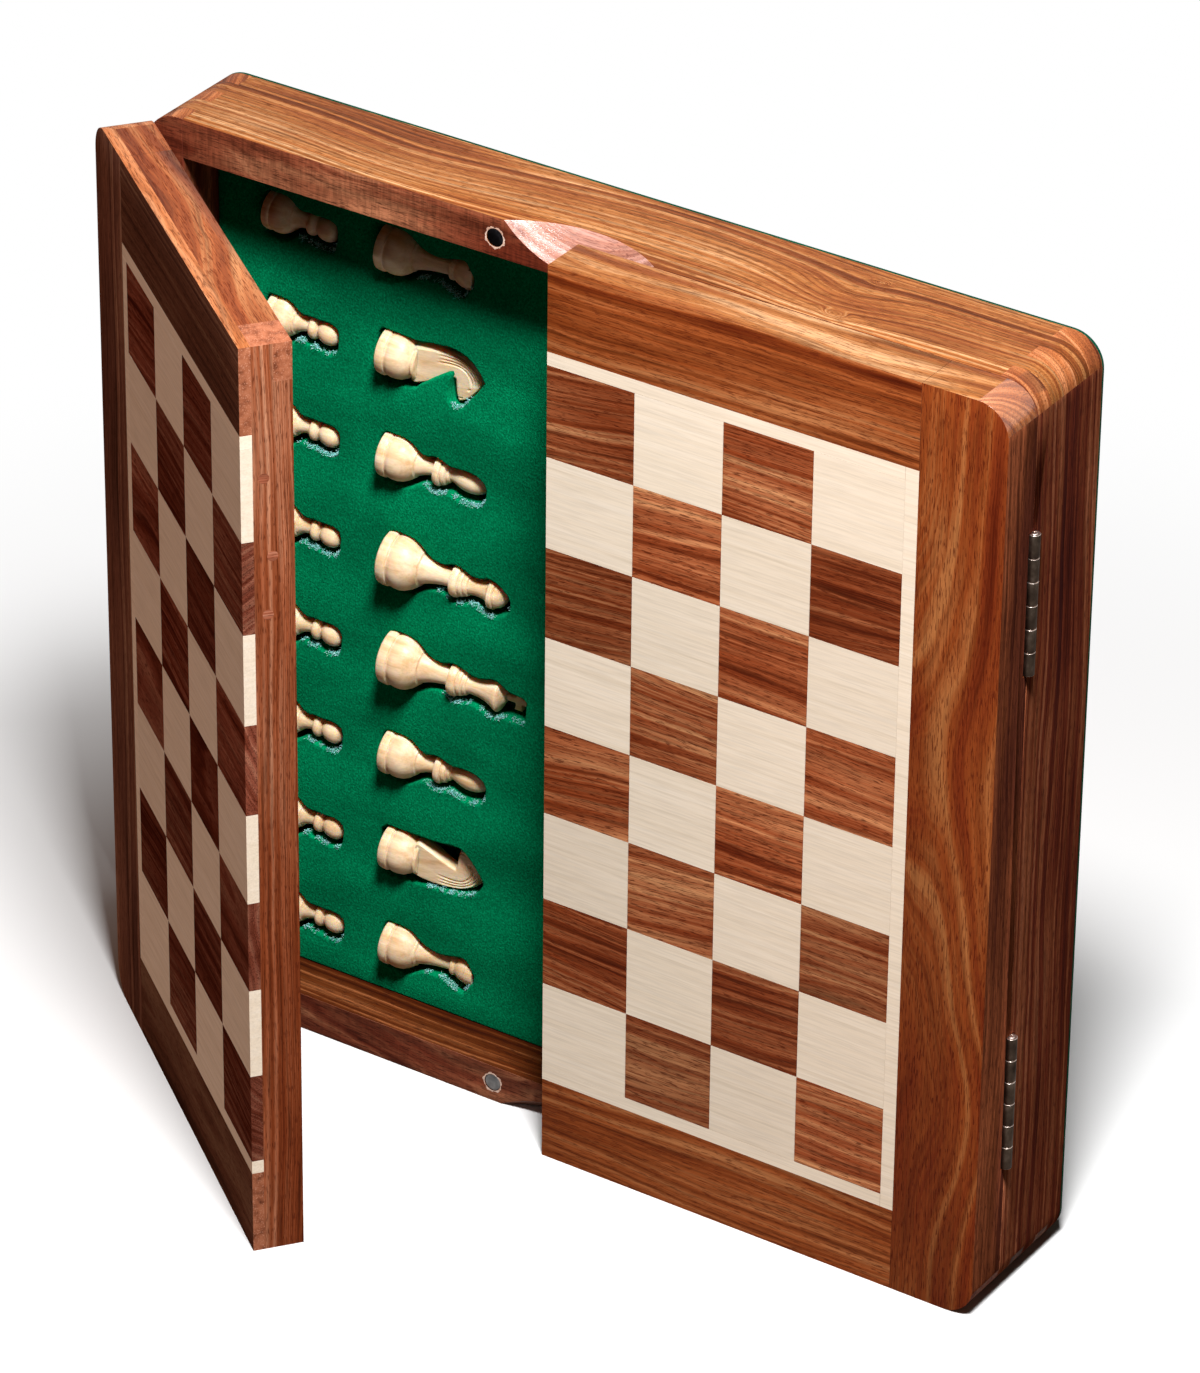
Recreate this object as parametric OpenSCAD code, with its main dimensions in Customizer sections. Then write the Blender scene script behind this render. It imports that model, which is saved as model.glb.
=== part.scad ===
// Magnetic chess set in a cabinet box.  The closed doors carry the two halves
// of the board, and the men lie in shaped nests inside.  The box stands on its
// lower rail: X runs along the width, Z is up, and the doors face -Y.
// The origin is the middle of the case's standing face.

/* [Case] */
// Width of the case and of the closed doors
case_w = 254; // [246:0.5:270]
// Height of the case and of the doors
case_h = 253.5; // [246:0.5:270]
// Depth of the wooden case frame, doors and felt not counted
case_d = 29.2; // [28:0.1:36]
// Thickness of the rails and sides of the case
wall = 10.5; // [10:0.1:12]
// Radius of the four outer corners
corner_r = 8.5; // [5:0.5:10]
// Thickness of the back panel
panel_t = 3.2; // [2:0.1:4]
// Width of the rebate that the back panel sits in
rebate_w = 4; // [3:0.5:6]
// Thickness of the felt glued over the whole back
felt_t = 1; // [0.6:0.1:2]
// Number of fingers in each corner joint of the case
finger_n = 5; // [3, 5, 7]
// Depth of the velvet surface below the front edge of the case
velvet_drop = 14; // [12:0.5:15]

/* [Thumb scoops] */
// Half the length of each scoop along the rail
scoop_reach = 21.3; // [15:0.1:22]
// Depth of each scoop measured back from the front edge of the rail
scoop_back = 7; // [4:0.5:8]
// Height of the scoop on the front of the upper rail
scoop_top_h = 9.4; // [5:0.1:9.5]
// Height of the scoop on the front of the lower rail
scoop_bottom_h = 6; // [4:0.1:9.5]

/* [Doors and board] */
// Thickness of each door
door_t = 13; // [11:0.5:16]
// Gap between the closed doors and the case
close_gap = 0.3; // [0.2:0.1:0.6]
// Gap between the two closed doors
centre_gap = 0.3; // [0.2:0.1:1]
// Angle at which the left door stands open
left_open = 38; // [0:1:120]
// Side of one square of the board
square = 25; // [22:0.5:26]
// Width of the pale line round the squares
line_w = 3.6; // [2:0.1:5]
// Thickness of the squares and of the pale line
inlay_t = 3; // [2:0.1:4]
// Glue joint between neighbouring squares, and where a strip or a rail butts
glue_gap = 0.1; // [0.05:0.05:0.2]
// Thickness of the steel sheet under the squares
steel_t = 0.5; // [0.3:0.1:1]
// Border left between the steel sheet and the edge of its recess
steel_margin = 1; // [0.5:0.5:3]

/* [Hinges] */
// Length of each butt hinge
hinge_len = 38; // [30:1:50]
// Distance from the middle of a hinge to the nearer end of the case
hinge_end = 57; // [40:1:80]
// Number of knuckles in each hinge
knuckle_n = 6; // [4, 6, 8]
// Outer radius of the knuckles
knuckle_r = 1.5; // [1.3:0.1:2]
// Radius of the hinge pins
pin_r = 0.8; // [0.6:0.05:0.9]
// Running clearance round the pins
pin_clear = 0.05; // [0.03:0.01:0.1]
// Gap between neighbouring knuckles
knuckle_gap = 0.2; // [0.1:0.05:0.3]
// How far the pin's centre stands outside the sides of the case
pin_out = 0.4; // [0.2:0.1:0.8]
// Width of each leaf, measured from the pin's centre
leaf_w = 8.4; // [7:0.1:9.5]
// Thickness of each leaf
leaf_t = 1; // [0.8:0.1:1.2]
// Radius of the hinge screws' heads
screw_head_r = 1.9; // [1.5:0.1:2.2]
// Radius of the hinge screws' shanks
screw_r = 0.9; // [0.7:0.1:1.1]
// Length of the hinge screws
screw_len = 8; // [6:0.5:10]
// Distance between neighbouring screws of a leaf
screw_pitch = 13; // [10:0.5:14]

/* [Closing magnets] */
// Radius of the closing magnets
magnet_r = 2.4; // [1.5:0.1:3]
// Thickness of the closing magnets
magnet_t = 4; // [2:0.5:6]
// Distance from the middle of the box to the magnets
magnet_x = 24; // [24:0.5:40]
// Distance from the outer edge of a rail to the magnets
magnet_edge = 5.5; // [4:0.5:7]

/* [Men] */
// Height of the kings, cross included
king_h = 41; // [37:0.5:46]
// Height of the queens
queen_h = 35; // [32:0.5:42]
// Height of the bishops
bishop_h = 30.4; // [27:0.2:35]
// Height of the knights
knight_h = 29.6; // [25:0.2:33]
// Height of the rooks
rook_h = 26.6; // [22:0.2:30]
// Height of the pawns
pawn_h = 20.6; // [19:0.2:25]
// Widest radius of the kings and queens
royal_r = 7.5; // [6:0.1:8]
// Widest radius of the bishops, knights and rooks
officer_r = 6.3; // [5:0.1:7]
// Widest radius of the pawns
pawn_r = 5.6; // [4.5:0.1:6]
// Thickness of the knights' carved heads
knight_head_t = 5; // [4:0.5:7]
// Radius of the magnet let into each man's base
base_magnet_r = 3; // [2:0.5:4]
// Thickness of the magnet let into each man's base
base_magnet_t = 2; // [1:0.5:3]
// Distance from the sides of the case to the bases of the pawns
pawn_edge = 14.8; // [14:0.1:18]
// Distance from the bases of the pawns to the bases of the bishops, knights and rooks
row_gap = 34.5; // [31:0.1:36]
// How much nearer the middle the bases of the kings and queens lie
royal_inset = 1.4; // [0:0.1:3]
// Distance from the rails of the case to the axis of the first man of a row
row_end = 15.45; // [14:0.05:20]
// Depth of the flat floor of the nests below the velvet surface
nest_depth = 8.7; // [8.4:0.1:9.7]
// Room between a man's outline and the wall of its nest
nest_gap = 1.5; // [1.2:0.1:2]
// Room between the men and the floor of their nests
rest_gap = 0.3; // [0.2:0.1:0.5]
// How far the men sit below the middle of their nests when the box stands
man_drop = 0.6; // [0:0.1:0.8]
// Angle by which the nests and the men in them lean down towards their heads
nest_lean = 4; // [0:0.5:5]

/* [Hidden] */
$fn = 48;
seat = 0.05;                     // room round parts glued or pressed into wood
half_w = case_w / 2;
half_d = case_d / 2;
case_front = -half_d;
case_back = half_d;
inner_x = half_w - wall;
inner_top = case_h - wall;
door_back = case_front - close_gap;
door_front = door_back - door_t;
pin_x = half_w + pin_out;
pin_y = case_front - close_gap / 2;
board_x = 4 * square;            // the squares end here, counted from the middle
inlay_x = board_x + line_w;
rail_h = case_h / 2 - 4 * square - line_w;
inlay_z0 = rail_h;
inlay_z1 = case_h - rail_h;
squares_z0 = rail_h + line_w;
inlay_back = door_front + inlay_t;
velvet_y = case_front + velvet_drop;
finger_d = case_d / finger_n;
panel_front = case_back - panel_t;
knuckle_len = hinge_len / knuckle_n;
hinge_zs = [hinge_end, case_h - hinge_end];
screw_x = pin_x - (leaf_w + knuckle_r + 0.3) / 2;
barrel_room = 0.3;               // room round the knuckles in the wood
over = 1;                        // how far a cutter runs past the face it opens
man_pitch = (inner_top - wall - 2 * row_end) / 7;
king = 0; queen = 1; bishop = 2; knight = 3; rook = 4; pawn = 5;
row = [rook, knight, bishop, king, queen, bishop, knight, rook]; // lowest man first

rosewood = "#8a4a22";
dark_rosewood = "#5e2614";
maple = "#e2cba6";
boxwood = "#d9bd8c";
velvet_green = "#00683f";
felt_green = "#0c4a35";
brass = "#a98c55";
steel = "#9a9ca0";

// ---------- helpers ----------

// A box given by its low and high corners
module block(low, high) {
    translate(low) cube(high - low);
}

// A cylinder along +Y that starts at a point
module rod_y(at, r, len) {
    translate(at) rotate([-90, 0, 0]) cylinder(h = len, r = r);
}

// What a rounded corner takes off: dx and dz point from the corner outwards
module corner_cut(x, z, dx, dz, y0, y1) {
    difference() {
        translate([x + (dx > 0 ? -corner_r : -over), y0 - over,
            z + (dz > 0 ? -corner_r : -over)])
            cube([corner_r + over, y1 - y0 + 2 * over, corner_r + over]);
        rod_y([x - dx * corner_r, y0 - 2 * over, z - dz * corner_r],
            corner_r, y1 - y0 + 4 * over);
    }
}

// The four rounded corners of the case, as one cutter
module case_corner_cuts(y0, y1) {
    for (dx = [-1, 1])
        for (dz = [-1, 1])
            corner_cut(dx * half_w, dz > 0 ? case_h : 0, dx, dz, y0, y1);
}

// Puts a part of the right door, drawn closed, on the right side
module on_right() {
    children();
}

// Puts a part of the right door on the left side, mirrored and swung open
module on_left() {
    translate([-pin_x, pin_y, 0]) rotate([0, 0, -left_open])
        translate([pin_x, -pin_y, 0]) mirror([1, 0, 0]) children();
}

// ---------- case ----------

// The rebate for the back panel, as a cutter
module rebate_cut() {
    block([-inner_x - rebate_w, panel_front, wall - rebate_w],
        [inner_x + rebate_w, case_back + over, inner_top + rebate_w]);
}

// Fingers of one corner joint that belong to the rails (first = 1)
// or to the sides (first = 0); the corner square starts at x, z
module fingers(x, z, first) {
    for (i = [first : 2 : finger_n - 1])
        block([x, case_front + i * finger_d, z],
            [x + wall, case_front + (i + 1) * finger_d, z + wall]);
}

// A rail that lies at height z with its fingers at both ends
module plain_rail(z) {
    block([-inner_x, case_front, z], [inner_x, case_back, z + wall]);
    fingers(-half_w, z, 1);
    fingers(inner_x, z, 1);
}

// A thumb scoop at height z, up is 1 on the upper rail and -1 on the lower:
// a ball that meets the front edge over twice the scoop's reach
module scoop_cut(z, up, face_h) {
    back = (pow(scoop_reach, 2) - pow(scoop_back, 2)) / (2 * scoop_back);
    rise = (pow(scoop_reach, 2) - pow(face_h, 2)) / (2 * face_h);
    r = sqrt(pow(scoop_reach, 2) + pow(back, 2) + pow(rise, 2));
    translate([0, case_front - back, z + up * rise]) sphere(r = r, $fn = 96);
}

// Two blind holes for the closing magnets in a rail's front
module case_magnet_holes(z) {
    for (side = [-1, 1])
        rod_y([side * magnet_x, case_front - over, z],
            magnet_r + seat, magnet_t + seat + over);
}

module case_top_rail() {
    color(rosewood) difference() {
        plain_rail(inner_top);
        rebate_cut();
        case_corner_cuts(case_front, case_back);
        scoop_cut(case_h, 1, scoop_top_h);
        case_magnet_holes(case_h - magnet_edge);
    }
}

module case_bottom_rail() {
    color(rosewood) difference() {
        plain_rail(0);
        rebate_cut();
        case_corner_cuts(case_front, case_back);
        scoop_cut(0, -1, scoop_bottom_h);
        case_magnet_holes(magnet_edge);
    }
}

// The room that a hinge needs in the wood: barrel groove, leaf bed and pilot
// holes.  dir is 1 towards the case and -1 towards the door
module hinge_room(z, dir) {
    z0 = z - hinge_len / 2;
    face = dir > 0 ? case_front : door_back;
    translate([pin_x, pin_y, z0 - barrel_room])
        cylinder(h = hinge_len + 2 * barrel_room, r = knuckle_r + barrel_room);
    block([pin_x - leaf_w - seat, min(face - dir * over, face + dir * (leaf_t + seat)),
            z0 - seat],
        [pin_x, max(face - dir * over, face + dir * (leaf_t + seat)),
            z0 + hinge_len + seat]);
    for (k = [-1 : 1])
        translate([screw_x, face, z + k * screw_pitch])
            rotate([-90 * dir, 0, 0]) cylinder(h = screw_len + seat, r = screw_r + seat);
}

module case_sides() {
    color(rosewood) for (side = [0, 1]) mirror([side, 0, 0]) difference() {
        union() {
            block([inner_x, case_front, wall], [half_w, case_back, inner_top]);
            fingers(inner_x, 0, 0);
            fingers(inner_x, inner_top, 0);
        }
        rebate_cut();
        case_corner_cuts(case_front, case_back);
        for (z = hinge_zs) hinge_room(z, 1);
    }
}

module back_panel() {
    color(rosewood) block([-inner_x - rebate_w, panel_front, wall - rebate_w],
        [inner_x + rebate_w, case_back, inner_top + rebate_w]);
}

module base_felt() {
    color(felt_green) difference() {
        block([-half_w, case_back, 0], [half_w, case_back + felt_t, case_h]);
        case_corner_cuts(case_back, case_back + felt_t);
    }
}

module case_magnets() {
    color(steel) for (z = [magnet_edge, case_h - magnet_edge])
        for (side = [-1, 1])
            rod_y([side * magnet_x, case_front + seat, z], magnet_r, magnet_t);
}

// ---------- nests ----------

module nest_insert() {
    color(velvet_green) difference() {
        block([-inner_x, velvet_y, wall], [inner_x, panel_front, inner_top]);
        for (side = [0, 1]) mirror([side, 0, 0]) {
            for (i = [0 : 7]) {
                nest(row[i], i);
                nest(pawn, i);
            }
        }
    }
}

// The cut-out for one man: his outline and the room round it, down to a flat floor
module nest(kind, i) {
    translate([-base_x(kind), velvet_y + nest_depth, place_z(i)])
        rotate([0, 90 + nest_lean, 0]) rotate([90, 0, 0])
            linear_extrude(nest_depth + over) {
                polygon(nest_outline(kind));
                if (kind == knight)
                    knight_turn(i) polygon(grown(knight_head(), nest_gap));
            }
}

// ---------- doors, drawn as the right door when closed ----------

// The screw holes and hinge beds of a door, as one cutter
module door_hinge_rooms() {
    for (z = hinge_zs) hinge_room(z, -1);
}

// Two rails and one stile; the stile runs the whole height
module door_frame() {
    difference() {
        union() {
            block([centre_gap / 2, door_front, 0],
                [inlay_x - glue_gap, door_back, rail_h]);
            block([centre_gap / 2, door_front, inlay_z1],
                [inlay_x - glue_gap, door_back, case_h]);
        }
        for (z = [magnet_edge, case_h - magnet_edge])
            rod_y([magnet_x, door_back - magnet_t - seat, z],
                magnet_r + seat, magnet_t + seat + over);
    }
    difference() {
        block([inlay_x, door_front, 0], [half_w, door_back, case_h]);
        for (dz = [-1, 1])
            corner_cut(half_w, dz > 0 ? case_h : 0, 1, dz, door_front, door_back);
        door_hinge_rooms();
    }
}

// The panel behind the squares, with a shallow recess for the steel sheet
module door_core() {
    difference() {
        block([centre_gap / 2, inlay_back, inlay_z0], [inlay_x, door_back, inlay_z1]);
        block([centre_gap / 2 + steel_margin, inlay_back - over, inlay_z0 + steel_margin],
            [inlay_x - steel_margin, inlay_back + steel_t, inlay_z1 - steel_margin]);
    }
}

module steel_sheet() {
    block([centre_gap / 2 + steel_margin, inlay_back, inlay_z0 + steel_margin],
        [inlay_x - steel_margin, inlay_back + steel_t, inlay_z1 - steel_margin]);
}

// The pale line: one upright strip and two level ones that butt against it
module board_line() {
    block([board_x, door_front, inlay_z0], [inlay_x, inlay_back, inlay_z1]);
    for (z = [inlay_z0, inlay_z1 - line_w])
        block([centre_gap / 2, door_front, z],
            [board_x - glue_gap, inlay_back, z + line_w]);
}

// The squares of one colour: odd is 0 for those of the inner top square's colour
module squares(odd) {
    g = glue_gap / 2;
    for (i = [0 : 3])
        for (j = [0 : 7])
            if ((i + 7 - j + odd) % 2 == 0)
                block([max(i * square + g, centre_gap / 2), door_front,
                        squares_z0 + j * square + g],
                    [(i + 1) * square - g, inlay_back, squares_z0 + (j + 1) * square - g]);
}

module door_magnets() {
    for (z = [magnet_edge, case_h - magnet_edge])
        rod_y([magnet_x, door_back - magnet_t - seat, z], magnet_r, magnet_t);
}

// ---------- hinges ----------

// One leaf with its knuckles.  dir is 1 for the case's leaf and -1 for the
// door's; first is the lowest knuckle that belongs to this leaf
module hinge_leaf(z, dir, first) {
    z0 = z - hinge_len / 2;
    face = dir > 0 ? case_front : door_back;
    low_y = min(face, face + dir * leaf_t);
    difference() {
        union() {
            block([pin_x - leaf_w, low_y, z0],
                [pin_x - knuckle_r - barrel_room, low_y + leaf_t, z0 + hinge_len]);
            for (k = [first : 2 : knuckle_n - 1]) {
                low = z0 + k * knuckle_len + knuckle_gap / 2;
                block([pin_x - knuckle_r - barrel_room, low_y, low],
                    [pin_x, low_y + leaf_t, low + knuckle_len - knuckle_gap]);
                translate([pin_x, pin_y, low])
                    cylinder(h = knuckle_len - knuckle_gap, r = knuckle_r);
            }
        }
        translate([pin_x, pin_y, z0 - over])
            cylinder(h = hinge_len + 2 * over, r = pin_r + pin_clear);
        for (k = [-1 : 1]) screw_shape(z + k * screw_pitch, dir, seat);
    }
}

// A countersunk screw in a leaf, room is added all round to make its hole
module screw_shape(z, dir, room) {
    face = dir > 0 ? case_front : door_back;
    translate([screw_x, face, z]) rotate([-90 * dir, 0, 0]) {
        cylinder(h = leaf_t, r1 = screw_head_r + room, r2 = screw_r + room);
        cylinder(h = screw_len, r = screw_r + room);
    }
}

module screws(dir) {
    for (z = hinge_zs)
        for (k = [-1 : 1]) screw_shape(z + k * screw_pitch, dir, 0);
}

module case_hinge_leaves() {
    color(brass) for (side = [0, 1]) mirror([side, 0, 0])
        for (z = hinge_zs) hinge_leaf(z, 1, 0);
}

module hinge_pins() {
    color(brass) for (side = [0, 1]) mirror([side, 0, 0])
        for (z = hinge_zs)
            translate([pin_x, pin_y, z - hinge_len / 2])
                cylinder(h = hinge_len, r = pin_r);
}

module case_hinge_screws() {
    color(brass) for (side = [0, 1]) mirror([side, 0, 0]) screws(1);
}

module door_hinge_leaves() {
    for (z = hinge_zs) hinge_leaf(z, -1, 1);
}

// ---------- men ----------

// Shares of each man's height, in the order king to pawn: the top of its foot,
// and the low and high edges of its collar, where it has one
foot_top = [0.25, 0.3, 0.325, 0.34, 0.37, 0.385];
collar_low = [0.455, 0.55, 0.49, 0, 0.73, 0.6];
collar_top = [0.6, 0.7, 0.63, 0, 0, 0.72];
// Shares of its widest radius: the stem under the collar, and the collar
stem_part = [0.33, 0.33, 0.33, 0, 0.33, 0.32];
collar_part = [0.63, 0.61, 0.68, 0, 0, 0.57];

function man_h(kind) = [king_h, queen_h, bishop_h, knight_h, rook_h, pawn_h][kind];
function man_r(kind) = kind == king || kind == queen ? royal_r
    : kind == pawn ? pawn_r : officer_r;

// Turned forms, each a list of [radius, height] points on the way up:
// the foot with its quirk and ogee, the hollow stem, the collar and a bulb
function foot_line(r, h) = [[0.96 * r, 0], [r, 0.26 * h], [0.93 * r, 0.3 * h],
    [r, 0.55 * h], [0.86 * r, 0.83 * h], [0.66 * r, h]];
function stem_line(r0, z0, r1, z1) = [for (t = [0 : 0.25 : 1])
    [r1 + (r0 - r1) * pow(1 - t, 2), z0 + (z1 - z0) * t]];
function collar_line(r, z, h) = [[0.93 * r, z], [r, z + 0.3 * h],
    [0.82 * r, z + 0.55 * h], [0.76 * r, z + 0.8 * h], [0.58 * r, z + h]];
function bulb_line(r, z, h) = [for (a = [-45 : 26 : 85]) [r * cos(a), z + h * sin(a)]];

// What stands on the collar: crown, coronet, drop, battlement or ball
function head_line(kind, r, h) = kind == king
    ? [[0.38 * r, 0.67 * h], [0.64 * r, 0.79 * h], [0.6 * r, 0.805 * h], [0.24 * r, 0.84 * h]]
    : kind == queen
    ? [[0.36 * r, 0.79 * h], [0.57 * r, 0.87 * h], [0.58 * r, 0.905 * h], [0.05 * r, h]]
    : kind == bishop ? bulb_line(0.57 * r, 0.826 * h, 0.174 * h)
    : kind == rook ? [[0.44 * r, 0.73 * h], [0.47 * r, 0.76 * h], [0.44 * r, 0.785 * h],
        [0.56 * r, 0.84 * h], [0.63 * r, 0.9 * h], [0.66 * r, h]]
    : kind == pawn ? bulb_line(0.57 * r, 0.845 * h, 0.155 * h)
    : [[0.82 * r, foot_top[kind] * h + 1]];

// The turned outline of one kind of man, as [radius, height] pairs
function man_line(kind) = let (
        r = man_r(kind), h = man_h(kind),
        foot_h = foot_top[kind] * h, low = collar_low[kind] * h)
    concat(
        foot_line(r, foot_h),
        kind == knight ? [] : stem_line(0.58 * r, foot_h, stem_part[kind] * r, low),
        collar_part[kind] == 0 ? [] : collar_line(collar_part[kind] * r, low,
            (collar_top[kind] - collar_low[kind]) * h),
        head_line(kind, r, h));
function man_outline(kind) = let (line = man_line(kind))
    concat([[0, 0]], line, [[0, line[len(line) - 1][1]]]);

// Radius of a man's turned outline at height z
function r_at(kind, z) = lookup(z, [for (p = man_line(kind)) [p[1], p[0]]]);

// How a man lies: the angle at which his head dips into the nest, in the order
// king to pawn.  What is then deepest rests over the nest's floor
lie_tilt = [5.7, 5.3, 6.8, 6, 6, 0];
function tilt(kind) = lie_tilt[kind];
function reach_y(kind) = max(concat(
    [for (p = man_line(kind)) p[1] * sin(tilt(kind)) + p[0] * cos(tilt(kind))],
    kind == knight ? [knight_h * sin(tilt(kind)) + knight_head_t / 2 * cos(tilt(kind))] : []));
function base_y(kind) = velvet_y + nest_depth - rest_gap - reach_y(kind);
function base_x(kind) = inner_x - pawn_edge - (kind == pawn ? 0
    : kind == king || kind == queen ? row_gap + royal_inset : row_gap);

// The outline of a cut-out: at each station the widest radius near it, plus the
// room round it, and behind the base also what the tilted foot needs
nest_steps = 8;
function turned_top(kind) = let (line = man_line(kind)) line[len(line) - 1][1];
function nest_r(kind, z, near) = nest_gap + max([for (i = [-4 : 4])
    let (at = z + i * near / 4)
        at > turned_top(kind) ? (kind == king ? cross_w / 2 : 0)
            : r_at(kind, max(0, at))]);
function nest_outline(kind) = let (
        low = -nest_gap - man_r(kind) * sin(tilt(kind)),
        top = (kind == king ? king_h : turned_top(kind)) + nest_gap,
        step = (top - low) / nest_steps,
        side = [for (k = [0 : nest_steps])
            [nest_r(kind, low + k * step, step * 0.7), low + k * step]])
    concat([for (p = side) [-p[0], p[1]]],
        [for (k = [nest_steps : -1 : 0]) side[k]]);

// Side view of a knight's head: [across, up], the muzzle points to +across
function knight_head() = [for (p = [[-0.83, 0.318], [-0.94, 0.378], [-1.05, 0.49],
        [-1.09, 0.59], [-1.02, 0.726], [-0.83, 0.845], [-0.52, 0.939], [-0.19, 0.986],
        [0.05, 1], [0.51, 0.946], [0.95, 0.878], [1.17, 0.811], [1.16, 0.753],
        [0.79, 0.73], [0.22, 0.716], [0.41, 0.625], [0.67, 0.524], [0.95, 0.382],
        [0.84, 0.318]])
    [p[0] * officer_r, p[1] * knight_h]];

// A closed outline with each side pushed out by a distance
function side_normal(a, b) = let (v = b - a) [-v[1], v[0]] / norm(v);
function grown(pts, by) = let (n = len(pts)) [for (i = [0 : n - 1]) let (
        before = side_normal(pts[(i + n - 1) % n], pts[i]),
        after = side_normal(pts[i], pts[(i + 1) % n]))
    pts[i] + by * (before + after) / max(0.5, 1 + before * after)];

cross_w = 5.4;                   // span of the cross's arms
cross_t = 2;                     // thickness of the cross
cross_bar = 2;                   // width of the cross's upright and arms

// The cross on a king's crown, from the top of the turned part
module king_cross() {
    foot = turned_top(king) - 0.5;
    for (size = [[cross_bar, king_h - foot], [cross_w, cross_bar]])
        translate([-size[0] / 2, -cross_t / 2,
            size[0] == cross_w ? foot + (king_h - foot) * 0.5 : foot])
            cube([size[0], cross_t, size[1]]);
}

// The notches and the hollow of a rook's top
module rook_top_cut() {
    crown_r = r_at(rook, rook_h);
    translate([0, 0, rook_h - 1.5]) cylinder(h = 1.5 + over, r = crown_r * 0.6);
    for (turn = [0, 90]) rotate([0, 0, turn])
        translate([-officer_r, -0.7, rook_h - 1.5]) cube([2 * officer_r, 1.4, 1.5 + over]);
}

// Knights in the lower half of the box look up, those in the upper half down
module knight_turn(i) {
    mirror([i < 4 ? 1 : 0, 0, 0]) children();
}

// One man, standing on its base with its magnet let in
module man(kind, i, tint) {
    magnet_h = min(base_magnet_t, man_h(kind) * 0.1);
    color(tint) difference() {
        union() {
            rotate_extrude() polygon(man_outline(kind));
            if (kind == king) king_cross();
            if (kind == knight) knight_turn(i)
                translate([0, knight_head_t / 2, 0]) rotate([90, 0, 0])
                    linear_extrude(knight_head_t) polygon(knight_head());
        }
        translate([0, 0, -over]) cylinder(h = magnet_h + seat + over, r = base_magnet_r + seat);
        if (kind == rook) rook_top_cut();
    }
    color(steel) cylinder(h = magnet_h, r = base_magnet_r);
}

// Height of the man or pawn in place i, counted from the lowest
function place_z(i) = case_h / 2 + (i - 3.5) * man_pitch;

// A man in his place on the left, head to the middle and tilted onto the floor
module laid_man(kind, i, tint) {
    translate([-base_x(kind), base_y(kind), place_z(i) - man_drop])
        rotate([0, 90 + nest_lean, tilt(kind)]) man(kind, i, tint);
}

module light_officer(i) { laid_man(row[i], i, boxwood); }
module light_pawn(i) { laid_man(pawn, i, boxwood); }
module dark_officer(i) { mirror([1, 0, 0]) laid_man(row[i], i, dark_rosewood); }
module dark_pawn(i) { mirror([1, 0, 0]) laid_man(pawn, i, dark_rosewood); }

// ---------- drawing ----------

case_top_rail();
case_bottom_rail();
case_sides();
back_panel();
base_felt();
nest_insert();
case_magnets();
case_hinge_leaves();
hinge_pins();
case_hinge_screws();
color(rosewood) on_left() door_frame();  // left_door_frame
color(rosewood) on_left() door_core();  // left_door_core
color(maple) on_left() board_line();  // left_board_line
color(maple) on_left() squares(0);  // left_light_squares
color(dark_rosewood) on_left() squares(1);  // left_dark_squares
color(steel) on_left() steel_sheet();  // left_steel_sheet
color(steel) on_left() door_magnets();  // left_door_magnets
color(brass) on_left() door_hinge_leaves();  // left_hinge_leaves
color(brass) on_left() screws(-1);  // left_hinge_screws
color(rosewood) on_right() door_frame();  // right_door_frame
color(rosewood) on_right() door_core();  // right_door_core
color(maple) on_right() board_line();  // right_board_line
color(maple) on_right() squares(1);  // right_light_squares
color(dark_rosewood) on_right() squares(0);  // right_dark_squares
color(steel) on_right() steel_sheet();  // right_steel_sheet
color(steel) on_right() door_magnets();  // right_door_magnets
color(brass) on_right() door_hinge_leaves();  // right_hinge_leaves
color(brass) on_right() screws(-1);  // right_hinge_screws
light_officer(3);  // light_king
light_officer(4);  // light_queen
light_officer(2);  // light_bishop_1
light_officer(5);  // light_bishop_2
light_officer(1);  // light_knight_1
light_officer(6);  // light_knight_2
light_officer(0);  // light_rook_1
light_officer(7);  // light_rook_2
light_pawn(0);  // light_pawn_1
light_pawn(1);  // light_pawn_2
light_pawn(2);  // light_pawn_3
light_pawn(3);  // light_pawn_4
light_pawn(4);  // light_pawn_5
light_pawn(5);  // light_pawn_6
light_pawn(6);  // light_pawn_7
light_pawn(7);  // light_pawn_8
dark_officer(3);  // dark_king
dark_officer(4);  // dark_queen
dark_officer(2);  // dark_bishop_1
dark_officer(5);  // dark_bishop_2
dark_officer(1);  // dark_knight_1
dark_officer(6);  // dark_knight_2
dark_officer(0);  // dark_rook_1
dark_officer(7);  // dark_rook_2
dark_pawn(0);  // dark_pawn_1
dark_pawn(1);  // dark_pawn_2
dark_pawn(2);  // dark_pawn_3
dark_pawn(3);  // dark_pawn_4
dark_pawn(4);  // dark_pawn_5
dark_pawn(5);  // dark_pawn_6
dark_pawn(6);  // dark_pawn_7
dark_pawn(7);  // dark_pawn_8
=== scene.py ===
"""Magnetic folding chess box: rosewood case and doors, inlaid board, velvet nests and turned men."""

from math import cos, exp, pi, radians, sin, sqrt

import bmesh
import bpy
from mathutils import Matrix, Vector


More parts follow.
